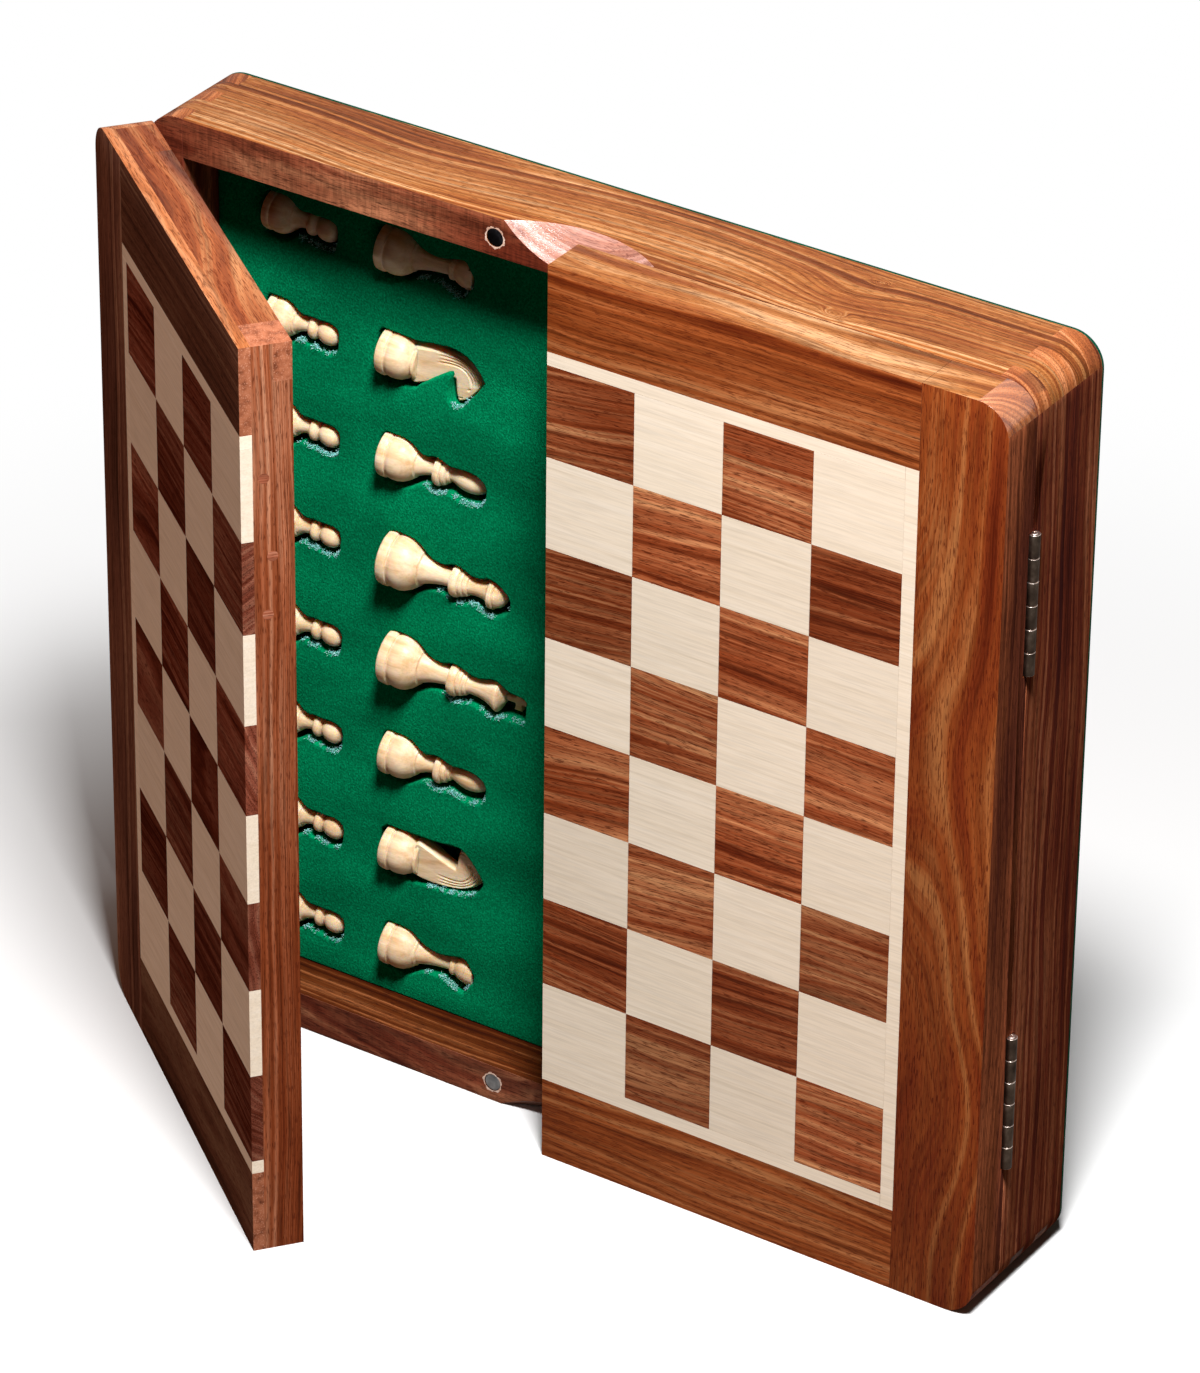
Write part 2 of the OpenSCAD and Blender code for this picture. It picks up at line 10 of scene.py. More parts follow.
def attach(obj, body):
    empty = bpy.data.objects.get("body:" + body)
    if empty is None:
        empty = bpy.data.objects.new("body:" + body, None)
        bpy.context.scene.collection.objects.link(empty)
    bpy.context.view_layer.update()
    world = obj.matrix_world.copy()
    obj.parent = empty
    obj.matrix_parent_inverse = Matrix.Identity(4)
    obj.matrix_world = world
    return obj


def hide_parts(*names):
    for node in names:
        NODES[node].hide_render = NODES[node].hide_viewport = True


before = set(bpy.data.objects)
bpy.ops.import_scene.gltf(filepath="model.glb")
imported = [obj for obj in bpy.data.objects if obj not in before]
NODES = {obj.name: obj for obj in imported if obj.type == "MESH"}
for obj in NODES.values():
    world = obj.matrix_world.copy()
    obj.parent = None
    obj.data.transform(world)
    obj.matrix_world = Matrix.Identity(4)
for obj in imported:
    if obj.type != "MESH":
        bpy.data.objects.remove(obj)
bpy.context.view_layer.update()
scene = bpy.context.scene
MM = 0.001

# Sizes of the frame, in millimetres
HALF_W = 127.0
CASE_H = 253.5
CASE_FRONT = -14.6
WALL, CORNER_R = 10.5, 8.5
DOOR_BACK, DOOR_FRONT = -14.9, -27.9
PIN_LEFT = Vector((-127.4, -14.75, 0))
LEFT_OPEN = 38.0
SQUARE, GLUE, INLAY_T = 25.0, 0.1, 3.0
INLAY_X, CENTRE = 103.6, 0.15
RAIL_H = 23.15
SQUARES_Z = 26.75
VELVET_Y, FLOOR_Y, PANEL_Y = -0.6, 8.1, 11.4
MAGNET_X, MAGNET_IN = 24.0, 5.5       # closing magnets, from the middle and the rails' faces
SCOOP_X, SCOOP_H, SCOOP_BACK = 22.0, 10.0, -7.0
STRAIGHT = 0.985                      # how nearly a flat face looks along an axis
TENON = (10.0, 4.6, 11.0)             # the left door's end tenon: height, depth and length


def shifted(x, y, z):
    """A move in millimetres."""
    return Matrix.Translation(Vector((x, y, z)) * MM)


def turned(degrees, axis):
    return Matrix.Rotation(radians(degrees), 4, axis)


# From the closed left door's place, drawn on the right, to where it stands open
MIRROR = Matrix.Scale(-1, 4, (1, 0, 0))
SWING = shifted(*PIN_LEFT) @ turned(-LEFT_OPEN, "Z") @ shifted(*-PIN_LEFT) @ MIRROR


# ---------- materials ----------

def srgb(text):
    """'#rrggbb' as linear red, green, blue and alpha."""
    parts = [int(text[i:i + 2], 16) / 255 for i in (1, 3, 5)]
    return tuple(c / 12.92 if c <= 0.04045 else ((c + 0.055) / 1.055) ** 2.4 for c in parts) + (1.0,)


tree = None       # the node tree that is being built


def add(kind, *inputs, **settings):
    """A node with its settings and links. Inputs are values or output sockets in order, or a
    dict of them by name or number. A kind without "Node" in it is a shader node's, one in
    capitals a maths step, and stops are a colour ramp's (place, hex colour or grey)."""
    if kind.isupper():
        kind, settings["operation"] = "Math", kind
    made = tree.nodes.new(kind if "Node" in kind else "ShaderNode" + kind)
    if "stops" in settings:
        stops, bar = list(settings.pop("stops")), made.color_ramp
        while len(bar.elements) < len(stops):
            bar.elements.new(0.5)
        for item, (place, tone) in zip(bar.elements, stops):
            item.position = place
            item.color = srgb(tone) if isinstance(tone, str) else (tone, tone, tone, 1)
    for key, value in settings.items():
        setattr(made, key, value)
    for place, given in enumerate(inputs):
        for key, value in (given if isinstance(given, dict) else {place: given}).items():
            if isinstance(value, bpy.types.NodeSocket):
                tree.links.new(value, made.inputs[key])
            else:
                made.inputs[key].default_value = value
    return made


def get(kind, *inputs, **settings):
    """The first output of a new node."""
    return add(kind, *inputs, **settings).outputs[0]


def material(name, metal=0.0, rough=0.5, gloss=0.5, **shader):
    """An empty node material with its shader; the other sockets are set by name."""
    global tree
    made = bpy.data.materials.new(name)
    made.use_nodes = True
    tree = made.node_tree
    tree.nodes.clear()
    body = add("BsdfPrincipled", {"Metallic": metal, "Roughness": rough, "Specular IOR Level": gloss})
    for key, value in shader.items():
        body.inputs[key.replace("_", " ")].default_value = value
    add("OutputMaterial", {"Surface": body.outputs[0]})
    return made, body


def dress(body, colour, height=None, strength=0.0, depth=0.0, rough=None):
    """Gives the shader its colour, and its relief and roughness if they vary."""
    tree.links.new(colour, body.inputs["Base Color"])
    if rough is not None:
        tree.links.new(rough, body.inputs["Roughness"])
    if height is not None:
        bump = get("Bump", {"Strength": strength, "Distance": depth, "Height": height})
        tree.links.new(bump, body.inputs["Normal"])


def place_mm(door=False):
    """The point on the piece in millimetres; a swung left door is read as if closed."""
    spot = add("TexCoord").outputs["Object"]
    turn = radians(LEFT_OPEN) if door else 0.0
    shift = PIN_LEFT - Matrix.Rotation(turn, 3, "Z") @ PIN_LEFT
    return get("Mapping", {"Vector": spot, "Location": shift, "Rotation": (0, 0, turn),
                           "Scale": (1000, 1000, 1000)})


def noise(spot, sizes, shift=0.0, detail=2.0, rough=0.5):
    """Noise from 0 to 1 whose grains have the given size along each axis."""
    spot = get("Mapping", {"Vector": spot, "Scale": [1 / size for size in sizes],
                           "Location": (shift, shift * 1.7, shift * 0.6)})
    return get("TexNoise", {"Vector": spot, "Scale": 1.0, "Detail": detail, "Roughness": rough})


def tinted(figure, value, *stops, share=1.0):
    """The figure made darker or lighter by a share of a grey ramp."""
    return add("Mix", {0: share, 6: figure, 7: get("ValToRGB", value, stops=stops)},
               data_type="RGBA", blend_type="MULTIPLY").outputs[2]


def grain_axes(spot, grain):
    """The point's three numbers, and the same with the one along the grain first."""
    parts = add("SeparateXYZ", {0: spot}).outputs
    order = {"x": (0, 2, 1), "z": (2, 0, 1), "y": (1, 0, 2)}[grain]
    return parts, [parts[i] for i in order]


def square_of(parts, seed):
    """The column and row of the square that a point lies in, to draw its chances from."""
    col = get("FLOOR", get("DIVIDE", parts[0], SQUARE))
    row = get("FLOOR", get("DIVIDE", get("SUBTRACT", parts[2], SQUARES_Z), SQUARE))
    return get("CombineXYZ", col, row, seed)


def rosewood(name, tones, seed, grain="x", door=False, ring=2.2, heart=(14.0, 60.0),
             wander=4.0, knots=(), cross=0.0, squares=False, pore=0.6, shine=0.36,
             face=2, gloss=0.06, lines=0.75):
    """Oiled and polished Indian rosewood: streaky growth rings, fine dark pores along the
    grain, and a satin gloss that breaks up where they lie open."""
    made, body = material("rosewood_" + name, rough=shine, gloss=gloss)
    tones = TONES[tones]
    parts, (along, side, deep) = grain_axes(place_mm(door), grain)
    if face == 1:              # a knot on the face that looks along the third axis
        side, deep = deep, side
    if squares:   # each square is cut from another strip, so its grain starts elsewhere
        chance = add("TexWhiteNoise", {"Vector": square_of(parts, seed)}).outputs
        along = get("ADD", along, get("MULTIPLY", chance[0], 700.0))
        jump = add("SeparateXYZ", {0: chance[1]}).outputs
        deep = get("ADD", deep, get("MULTIPLY", jump[1], 60.0))
        side = get("ADD", side, get("MULTIPLY", along, get("MULTIPLY_ADD", jump[2], 0.16, -0.08)))
    flow = get("CombineXYZ", along, side, deep)
    # Rings round the heart of the tree, pushed aside by slow and quick waves and by knots
    reach = get("SQRT", get("ADD", get("POWER", get("SUBTRACT", side, heart[0]), 2.0),
                            get("POWER", get("SUBTRACT", deep, heart[1]), 2.0)))
    rings = get("MULTIPLY_ADD", noise(flow, (120, 34, 34), seed, 1.0), wander * 2, reach)
    rings = get("MULTIPLY_ADD", noise(flow, (30, 7, 7), seed + 3), wander * 0.35, rings)
    for k_along, k_side, size, push in knots:
        da = get("DIVIDE", get("SUBTRACT", along, k_along), size * 1.7)
        ds = get("DIVIDE", get("SUBTRACT", side, k_side), size)
        far = get("ADD", get("MULTIPLY", da, da), get("MULTIPLY", ds, ds))
        swell = get("EXPONENT", get("MULTIPLY", far, -1.0))
        rings = get("ADD", rings, get("MULTIPLY", swell, push))
    bands = get("TexNoise", {"W": get("DIVIDE", rings, ring), "Scale": 1.0, "Detail": 6.0,
                             "Roughness": 0.7}, noise_dimensions="1D")
    # Broad colour of the plank: sapwood light to heartwood dark over 15 to 20 mm
    cloud = noise(flow, (90, 15, 15), seed + 8)
    figure = get("ValToRGB", get("MULTIPLY_ADD", bands, 0.55, get("MULTIPLY", cloud, 0.45)),
                 stops=zip((0.33, 0.44, 0.52, 0.64), tones.split()))
    # Fine lines 0.8 mm apart that run with the rings, as each year's growth shows
    year = get("CombineXYZ", get("DIVIDE", along, 55.0), get("DIVIDE", rings, 0.8), seed)
    year = get("TexNoise", {"Vector": year, "Scale": 1.0, "Detail": 3.0, "Roughness": 0.6})
    figure = tinted(figure, year, (0.33, 0.42), (0.46, 0.95), (0.66, 1.2), share=lines)
    # Fine streaks about a third of a millimetre wide and 14 mm long
    streak = noise(flow, (14, 0.34, 0.34), seed + 5, 3.0, 0.65)
    figure = tinted(figure, streak, (0.3, 0.66), (0.5, 1.0), (0.68, 1.16))
    if cross:     # ripples across the grain, where the figure catches the light
        wave = noise(flow, (0.9, 7, 7), seed + 11, 2.0, 0.6)
        figure = tinted(figure, wave, (0.36, 0.66), (0.6, 1.2), share=cross)
    if squares:
        figure = tinted(figure, chance[0], (0.0, 0.8), (1.0, 1.3))
    # Pores drawn 0.25 mm wide and 2 to 4 mm long
    holes = get("ValToRGB", noise(flow, (3.2, 0.26, 0.26), seed + 14, 1.0),
                stops=((0.575, 0.0), (0.63, 1.0)))
    figure = add("Mix", {0: get("MULTIPLY", holes, pore), 6: figure, 7: srgb(tones.split()[0])},
                 data_type="RGBA").outputs[2]
    height = get("MULTIPLY_ADD", holes, -1.0, get("MULTIPLY", streak, 0.5))
    dress(body, figure, height, 0.25, 0.0002, rough=get("MULTIPLY_ADD", holes, 0.2, shine))
    return made


def maple(name, seed=0.0, door=False, tones="#e4d2ba #eddcc6 #f2e3d0", squares=True, gloss=0.12):
    """Planed and polished maple: pale cream with faint long lines and a soft gloss."""
    made, body = material(name, rough=0.4, gloss=gloss)
    parts, (along, side, deep) = grain_axes(place_mm(door), "x")
    if squares:
        tone = get("TexWhiteNoise", {"Vector": square_of(parts, seed + 2)})
        along = get("MULTIPLY_ADD", tone, 500.0, along)
    flow = get("CombineXYZ", along, side, deep)
    figure = get("ValToRGB", noise(flow, (80, 1.1, 4), seed, 4.0, 0.7),
                 stops=zip((0.28, 0.48, 0.7), tones.split()))
    streak = noise(flow, (11, 0.5, 0.5), seed + 4, 2.0, 0.6)
    figure = tinted(figure, streak, (0.3, 0.9), (0.6, 1.02))
    if squares:
        figure = tinted(figure, tone, (0.0, 0.93), (1.0, 1.0))
    dress(body, figure, streak, 0.12, 0.0001)
    return made


def turned_wood(name, tones, rough, seed):
    """Boxwood polished on the lathe: close grained, and pale enough for light to sink in a
    little and glow brown in the shade. The dark men are the same wood, stained."""
    made, body = material(name, rough=rough, gloss=0.2, Subsurface_Weight=0.45,
                          Subsurface_Scale=0.004, Subsurface_Radius=(1.0, 0.42, 0.14))
    spot = place_mm()
    figure = get("ValToRGB", noise(spot, (34, 2.4, 2.4), seed, 3.0, 0.55),
                 stops=zip((0.3, 0.5, 0.72), tones.split()))
    streak = noise(spot, (6, 0.4, 0.4), seed + 2, 2.0, 0.6)
    dress(body, tinted(figure, streak, (0.3, 0.9), (0.6, 1.03)), streak, 0.1, 0.0001)
    return made


def velvet_cloth(name, tones, sheen, seed=0.0):
    """Flocked velvet: short upright pile that drinks light and turns pale at a grazing
    angle, drawn as coarse as 0.5 mm so that the nap shows."""
    made, body = material(name, rough=0.95, Sheen_Weight=sheen, Sheen_Roughness=0.45,
                          Sheen_Tint=srgb("#1f9a6c"), gloss=0.0)
    spot = place_mm()
    nap = noise(spot, (0.5, 0.5, 0.6), seed, 3.0, 0.7)
    figure = get("ValToRGB", nap, stops=zip((0.3, 0.5, 0.7), tones.split()))
    brushed = noise(spot, (26, 14, 15), seed + 4)
    dress(body, tinted(figure, brushed, (0.35, 0.8), (0.65, 1.15)), nap, 0.7, 0.0004)
    return made


def metal(name, tones, rough, lines=(0.25, 0.25, 6)):
    """Plated or turned metal, with rubbed lines that change its shine and colour."""
    made, body = material(name, metal=1.0, rough=rough)
    spot = place_mm()
    rubbed = noise(spot, lines, 2.0, 3.0, 0.6)
    figure = get("ValToRGB", noise(spot, (4, 4, 5), 6.0, 3.0, 0.6),
                 stops=zip((0.3, 0.55, 0.75), tones.split()))
    dress(body, figure, rubbed, 0.15, 0.00005, rough=get("MULTIPLY_ADD", rubbed, 0.16, rough))
    return made


def end_grain(name, seed):
    """A sawn and sanded end of the left door's wood: open pores as pale filled dots."""
    made, body = material("rosewood_" + name, rough=0.5, gloss=0.1)
    spot, tones = place_mm(True), TONES["end"]
    figure = get("ValToRGB", noise(spot, (3, 3, 3), seed, 3.0, 0.6),
                 stops=zip((0.3, 0.45, 0.6), tones.split()))
    dots = get("ValToRGB", noise(spot, (0.32, 0.32, 0.32), seed + 5, 1.0),
               stops=((0.58, 0.0), (0.7, 0.6)))
    dress(body, add("Mix", {0: dots, 6: figure, 7: srgb(tones.split()[3])},
                    data_type="RGBA").outputs[2])
    return made


# Four tones of a plank each, from its dark lines to its lightest streaks
TONES = {
    # The scoop's pale pinkish palette is painted highlight
    "scoop": "#682d1e #9b614c #b17d6d #cba39d",
    "top": "#481e06 #773e1d #925a2e #b78a62",
    "rim": "#2c0c07 #5f2718 #7c422c #be825d",
    "low": "#260905 #441a07 #572910 #9d5f39",
    # The side palette is darker than the top's: painted shade on flat faces that turn from the lamp
    "side": "#391a18 #652c1d #80472d #a5664a",
    "stile": "#4d1405 #752f12 #86401a #a26437",
    "rail": "#4c1505 #803c18 #944d25 #af6f43",
    "left_top": "#4b1707 #7a3b1d #8c4a27 #a66f47",
    # The corner palette is paler: painted light on the roundings that face the lamp
    "corner": "#431a0b #834626 #9f5c33 #c4845a",
    # The door_side palette is darker: painted shade on the doors' flat outer sides
    "door_side": "#371915 #5b2d20 #794028 #b16440",
    "end": "#5e2f1c #8c5036 #a26245 #c98f74",
    # The left door's palettes here (left, its stile and its squares) are darker and greyer than the
    # right door's: painted shade
    "left": "#2e1911 #523226 #643e2e #7e5a45",
    "left_stile_shaded": "#3f261d #6d473a #845745 #a57d65",
    "edge": "#461405 #723317 #8b4a2d #b47b5d",
    "left_square_shaded": "#39120a #5f2b1c #763f2f #925f4a",
    "dowel": "#6f3823 #925038 #a05f46 #b87e66",
    "square": "#4b1605 #7f391b #995533 #bf8358",
}

# One tight knot near the front edge, a disturbed spot behind it, and two long swells
top_wood = rosewood("top_rail", "top", 3.0, heart=(-160, 235), ring=1.9,
                    wander=2.6, knots=((69, -10.5, 1.6, 9), (70, 9, 1.3, 6), (66, -3, 9, 6),
                                       (-60, 0, 16, 4), (12, 6, 22, -4)),
                    face=1, pore=0.65, lines=0.9)
rim_wood = rosewood("top_rim", "rim", 5.0, heart=(243, 60), ring=3.0, cross=0.7)
bottom_wood = rosewood("bottom_rail", "low", 21.0, heart=(0, 50))
low_rim_wood = rosewood("bottom_rim", "rim", 25.0, heart=(0, 50), cross=0.3)
# The sides' dark palette is painted shade: the same rosewood as the top, darkened where flat faces
# turn from the lamp
shaded_side_wood = rosewood("sides", "side", 8.0, "z", heart=(130, 60), ring=2.0, wander=5, gloss=0.0)
# The figure of the stile swings out in two long bows
stile_wood = rosewood("right_stile", "stile", 12.0, "z", heart=(86, 30), ring=2.8,
                      wander=3.4, knots=((150, 98, 24, 8), (60, 126, 16, -4)), pore=0.75, lines=0.4)
rail_wood = rosewood("right_rails", "rail", 16.0, heart=(120, 90), ring=2.0)
# The left door's stile and rails are darker and greyer than the right's: painted shade on the open
# door, turned from the lamp
shaded_left_stile_wood = rosewood("left_stile_shaded", "left_stile_shaded", 31.0, "z", door=True, gloss=0.0, lines=0.45)
shaded_left_rail_wood = rosewood("left_rails_shaded", "left", 35.0, door=True, gloss=0.0, lines=0.35)
core_wood = rosewood("right_core", "edge", 41.0, "z")
left_core_wood = rosewood("left_core", "edge", 44.0, "z", door=True, ring=1.8)
# The thumb scoop has a stronger gloss than the rail round it, and its pale pinkish palette is painted
# highlight where the lamp's reflection falls
scoop_highlight_wood = rosewood("scoop_painted_highlight", "scoop", 3.0, heart=(-160, 235),
                      ring=1.9, wander=2.6, face=1, shine=0.3, gloss=1.0, lines=0.3)
# The case's upper corners take a paler palette as painted light, where the roundings face the lamp
lit_corner_wood = rosewood("case_corners_lit", "corner", 62.0, "z", heart=(130, 60))
# The doors' flat outer sides take a darker palette as painted shade. Their rounded corners take a
# paler one as painted light, with a real gloss for the highlight on the eased edge
shaded_door_side_wood = rosewood("door_side", "door_side", 65.0, "z", ring=1.9, gloss=0.0)
lit_door_corner_wood = rosewood("door_corners_lit", "corner", 68.0, "z", shine=0.22, gloss=1.0)
# The left door's flat outer side is darker as painted shade
shaded_left_side_wood = rosewood("left_side", "door_side", 71.0, "z", door=True, gloss=0.0)
left_top_wood = rosewood("left_top", "left_top", 74.0, door=True)
# The left door's rounded corner and the top's front strip are paler as painted light
lit_left_strip_wood = rosewood("left_strip", "corner", 77.0, door=True, shine=0.3)
plug_wood = rosewood("dowel_ends", "dowel", 91.0, "y", door=True, ring=0.8)
left_end_wood = end_grain("left_end", 80.0)
chipped_wood = maple("rosewood_chipped", 85.0, tones="#b98a72 #d9b7a4 #f2ddd0", squares=False)
right_top_wood = rosewood("right_top", "top", 87.0)
panel_wood = rosewood("back_panel", "rail", 47.0)
SQUARE_CUT = {"squares": True, "heart": (120, 60), "ring": 1.7, "wander": 5, "pore": 0.75}
dark_square_wood = rosewood("squares_right", "square", 500.0, **SQUARE_CUT)
# The left door's dark squares are darker than the right's: painted shade
shaded_left_dark_square_wood = rosewood("squares_left_shaded", "left_square_shaded", 57.0, door=True, gloss=0.0,
                                 **SQUARE_CUT)
light_square_wood = maple("maple_squares_right", 3.0)
left_light_square_wood = maple("maple_squares_left", 9.0, door=True, gloss=0.0)
line_wood = maple("maple_line_right", 13.0, squares=False)
left_line_wood = maple("maple_line_left", 17.0, door=True, squares=False, gloss=0.0)
boxwood = turned_wood("boxwood_natural", "#cfa87c #dfc09c #ecd4b5", 0.38, 2.0)
stained_wood = turned_wood("boxwood_stained", "#351008 #542011 #6f331c", 0.32, 7.0)
velvet = velvet_cloth("velvet_green", "#005636 #007247 #069160", 0.35)
nest_felt = velvet_cloth("velvet_nest_walls", "#06463d #13695f #4fa79f", 0.2, 5.0)
felt = velvet_cloth("felt_base", "#06281c #0a3a29 #125040", 0.1, 9.0)
# The fibres' near-white colour is partly painted light: the lamp-lit cut edge of the lower lips
lit_lip_fibres = velvet_cloth("velvet_cut_fibres", "#2f9f9a #8fdcdc #f0ffff", 0.2, 3.0)
# Knuckles in a dark metal, and the faces that look up or down in a bright one
hinge_metal = metal("hinge_bronzed_steel", "#3a3029 #5d5045 #83766a", 0.34)
knuckle_metal = metal("hinge_bright_ends", "#c9b8ae #ecdcd2 #fff6ee", 0.25)
screw_metal = metal("screw_plated_steel", "#8b7d5c #bdb08a #dcd3b8", 0.28)
magnet_metal = metal("magnet_nickel", "#6f7376 #9a9da0 #bfc2c4", 0.36)
# The upper magnets' near-black metal is painted shade and dark reflection, of magnets sunk in their
# holes
dark_magnet_shade = metal("magnet_painted_shade", "#0e0e10 #1a1a1d #34343a", 0.5)
sheet_metal = metal("steel_sheet_rolled", "#6b6d70 #8d9093 #a4a7a9", 0.4, lines=(9, 0.3, 0.3))


# ---------- making pieces ----------

def linked(name, data):
    """A new object in the scene."""
    made = bpy.data.objects.new(name, data)
    scene.collection.objects.link(made)
    return made


def as_mesh(name, shape):
    """A bmesh as a mesh; the bmesh is freed."""
    mesh = bpy.data.meshes.new(name)
    shape.to_mesh(mesh)
    shape.free()
    return mesh


def baked(holder, *others):
    """The holder's evaluated mesh; the holder and what it used are removed."""
    bpy.context.view_layer.update()
    graph = bpy.context.evaluated_depsgraph_get()
    mesh = bpy.data.meshes.new_from_object(holder.evaluated_get(graph))
    for used in (holder, *others):
        bpy.data.objects.remove(used)
    return mesh


def piece(name, made, body, finish, stands_for=(), smooth=35.0, move=None):
    """A finished object from a bmesh or a mesh, with its finish, body and CAD nodes."""
    mesh = as_mesh(name, made) if isinstance(made, bmesh.types.BMesh) else made
    if move is not None:
        mesh.transform(move)
        if move.determinant() < 0:
            mesh.flip_normals()
    mesh.name = name
    for item in finish if isinstance(finish, (list, tuple)) else [finish]:
        if item.name not in mesh.materials:
            mesh.materials.append(item)
    mesh.shade_smooth()
    mesh.set_sharp_from_angle(angle=radians(smooth))
    made_object = linked(name, mesh)
    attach(made_object, body)
    if stands_for:
        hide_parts(*stands_for)
    return made_object


def repaint(node, finish):
    """Gives a CAD node that stays as it is another finish."""
    NODES[node].data.materials.clear()
    NODES[node].data.materials.append(finish)


def skinned(shape, loops):
    """Faces between each loop of points and the next; a loop may be a single point."""
    for low, high in zip(loops, loops[1:]):
        count = max(len(low), len(high))
        for i in range(count):
            j = (i + 1) % count
            corners = [low[i % len(low)], low[j % len(low)], high[j % len(high)], high[i % len(high)]]
            shape.faces.new(list(dict.fromkeys(corners)))


def cad_copy(node):
    """A CAD node's mesh as a bmesh with its doubles merged and its flat faces joined."""
    shape = bmesh.new()
    shape.from_mesh(NODES[node].data)
    bmesh.ops.remove_doubles(shape, verts=shape.verts, dist=2e-6)
    bmesh.ops.dissolve_limit(shape, angle_limit=radians(0.6), verts=shape.verts, edges=shape.edges)
    return shape


def eased(shape, chosen, width, steps=2):
    """Eases the sharp edges that chosen(edge) picks, in a bmesh in metres."""
    picked = [e for e in shape.edges if len(e.link_faces) == 2
              and e.calc_face_angle(0) > radians(25) and chosen(e)]
    bmesh.ops.bevel(shape, geom=picked, offset=width * MM, segments=steps,
                    profile=0.5, affect="EDGES", clamp_overlap=True)
    return shape


def painted(shape, finishes, which):
    """Gives each face the finish that which(face) counts; the finishes without doubles."""
    kinds = list(dict.fromkeys(finishes))
    for face in shape.faces:
        face.material_index = kinds.index(finishes[which(face)])
    return kinds


def from_tree(holder, group, values):
    """The holder's Geometry Nodes result as a plain mesh."""
    step = holder.modifiers.new("tree", "NODES")
    step.node_group = group
    for item in group.interface.items_tree:
        if item.item_type == "SOCKET" and item.in_out == "INPUT" and item.name in values:
            step[item.identifier] = values[item.name]
    return baked(holder)


def new_group(name, inputs):
    """Starts a Geometry Nodes tree with named inputs: (name, kind of socket)."""
    global tree
    tree = bpy.data.node_groups.new(name, "GeometryNodeTree")
    for label, kind in inputs:
        tree.interface.new_socket(label, in_out="INPUT", socket_type="NodeSocket" + kind)
    tree.interface.new_socket("Geometry", in_out="OUTPUT", socket_type="NodeSocketGeometry")
    return tree, add("NodeGroupInput").outputs


def close_group(geometry, finish):
    """Ends a tree with its finish."""
    add("NodeGroupOutput", {0: get("GeometryNodeSetMaterial", {
        "Geometry": geometry, "Material": finish})})


# ---------- case ----------

def near(value, target, room=0.02):
    return abs(value / MM - target) < room


def rim_edge(edge):
    """Edges of the case's front rim and scoops, leaving the finger joints' seams flush."""
    a, b = (v.co for v in edge.verts)
    if not (near(a.y, CASE_FRONT) and near(b.y, CASE_FRONT)):
        return False
    mid = (a + b) / 2 / MM
    corner = abs(mid.x) > HALF_W - WALL - 0.5 and (mid.z < WALL + 0.5 or mid.z > CASE_H - WALL - 0.5)
    seam = corner and (near(a.x, b.x / MM) or near(a.z, b.z / MM)) and (
        abs(abs(mid.x) - (HALF_W - WALL)) < 0.1 or abs(mid.z - WALL) < 0.1
        or abs(mid.z - (CASE_H - WALL)) < 0.1)
    return not seam


def scoop_edge(edge):
    """Edges of the thumb scoops."""
    ends = [v.co / MM for v in edge.verts]
    return (all(abs(p.z - CASE_H / 2) > CASE_H / 2 - SCOOP_H and abs(p.x) < SCOOP_X - 0.2
                for p in ends)
            and min(p.y for p in ends) < SCOOP_BACK)


def case_finish(face):
    """0 is the board's own face, 1 the rim that the doors close on, 2 the flat outer side in a
    darker palette as painted shade, 3 the upper rounded corners in a paler one as painted light
    where they face the lamp, and 4 the scoop, glossier and paler as painted highlight."""
    mid, way = face.calc_center_median() / MM, face.normal
    if all(near(v.co.y, CASE_FRONT) for v in face.verts):
        return 1
    if abs(way.x) > STRAIGHT and abs(mid.x) > HALF_W - 0.4:
        return 2
    if abs(mid.x) > HALF_W - WALL and abs(way.y) < 0.3 and mid.z > WALL and abs(way.x) < STRAIGHT:
        return 3
    if abs(mid.x) < SCOOP_X and way.y < -0.2 and abs(way.z) > 0.2:
        return 4
    return 0


# Painted light and shade: the sides' upper corners take the pale corner palette, and the bottom
# rail's corners take the dark side palette
for node, finish, rim, corner in (("case_top_rail", top_wood, rim_wood, top_wood),
                                  ("case_bottom_rail", bottom_wood, low_rim_wood, shaded_side_wood),
                                  ("case_sides", shaded_side_wood, rim_wood, lit_corner_wood)):
    shape = eased(cad_copy(node), lambda e: rim_edge(e) or scoop_edge(e), 0.35)
    kinds = painted(shape, (finish, rim, shaded_side_wood, corner, scoop_highlight_wood), case_finish)
    piece(node + "_wood", shape, "case", kinds, [node])
repaint("back_panel", panel_wood)


# ---------- doors ----------

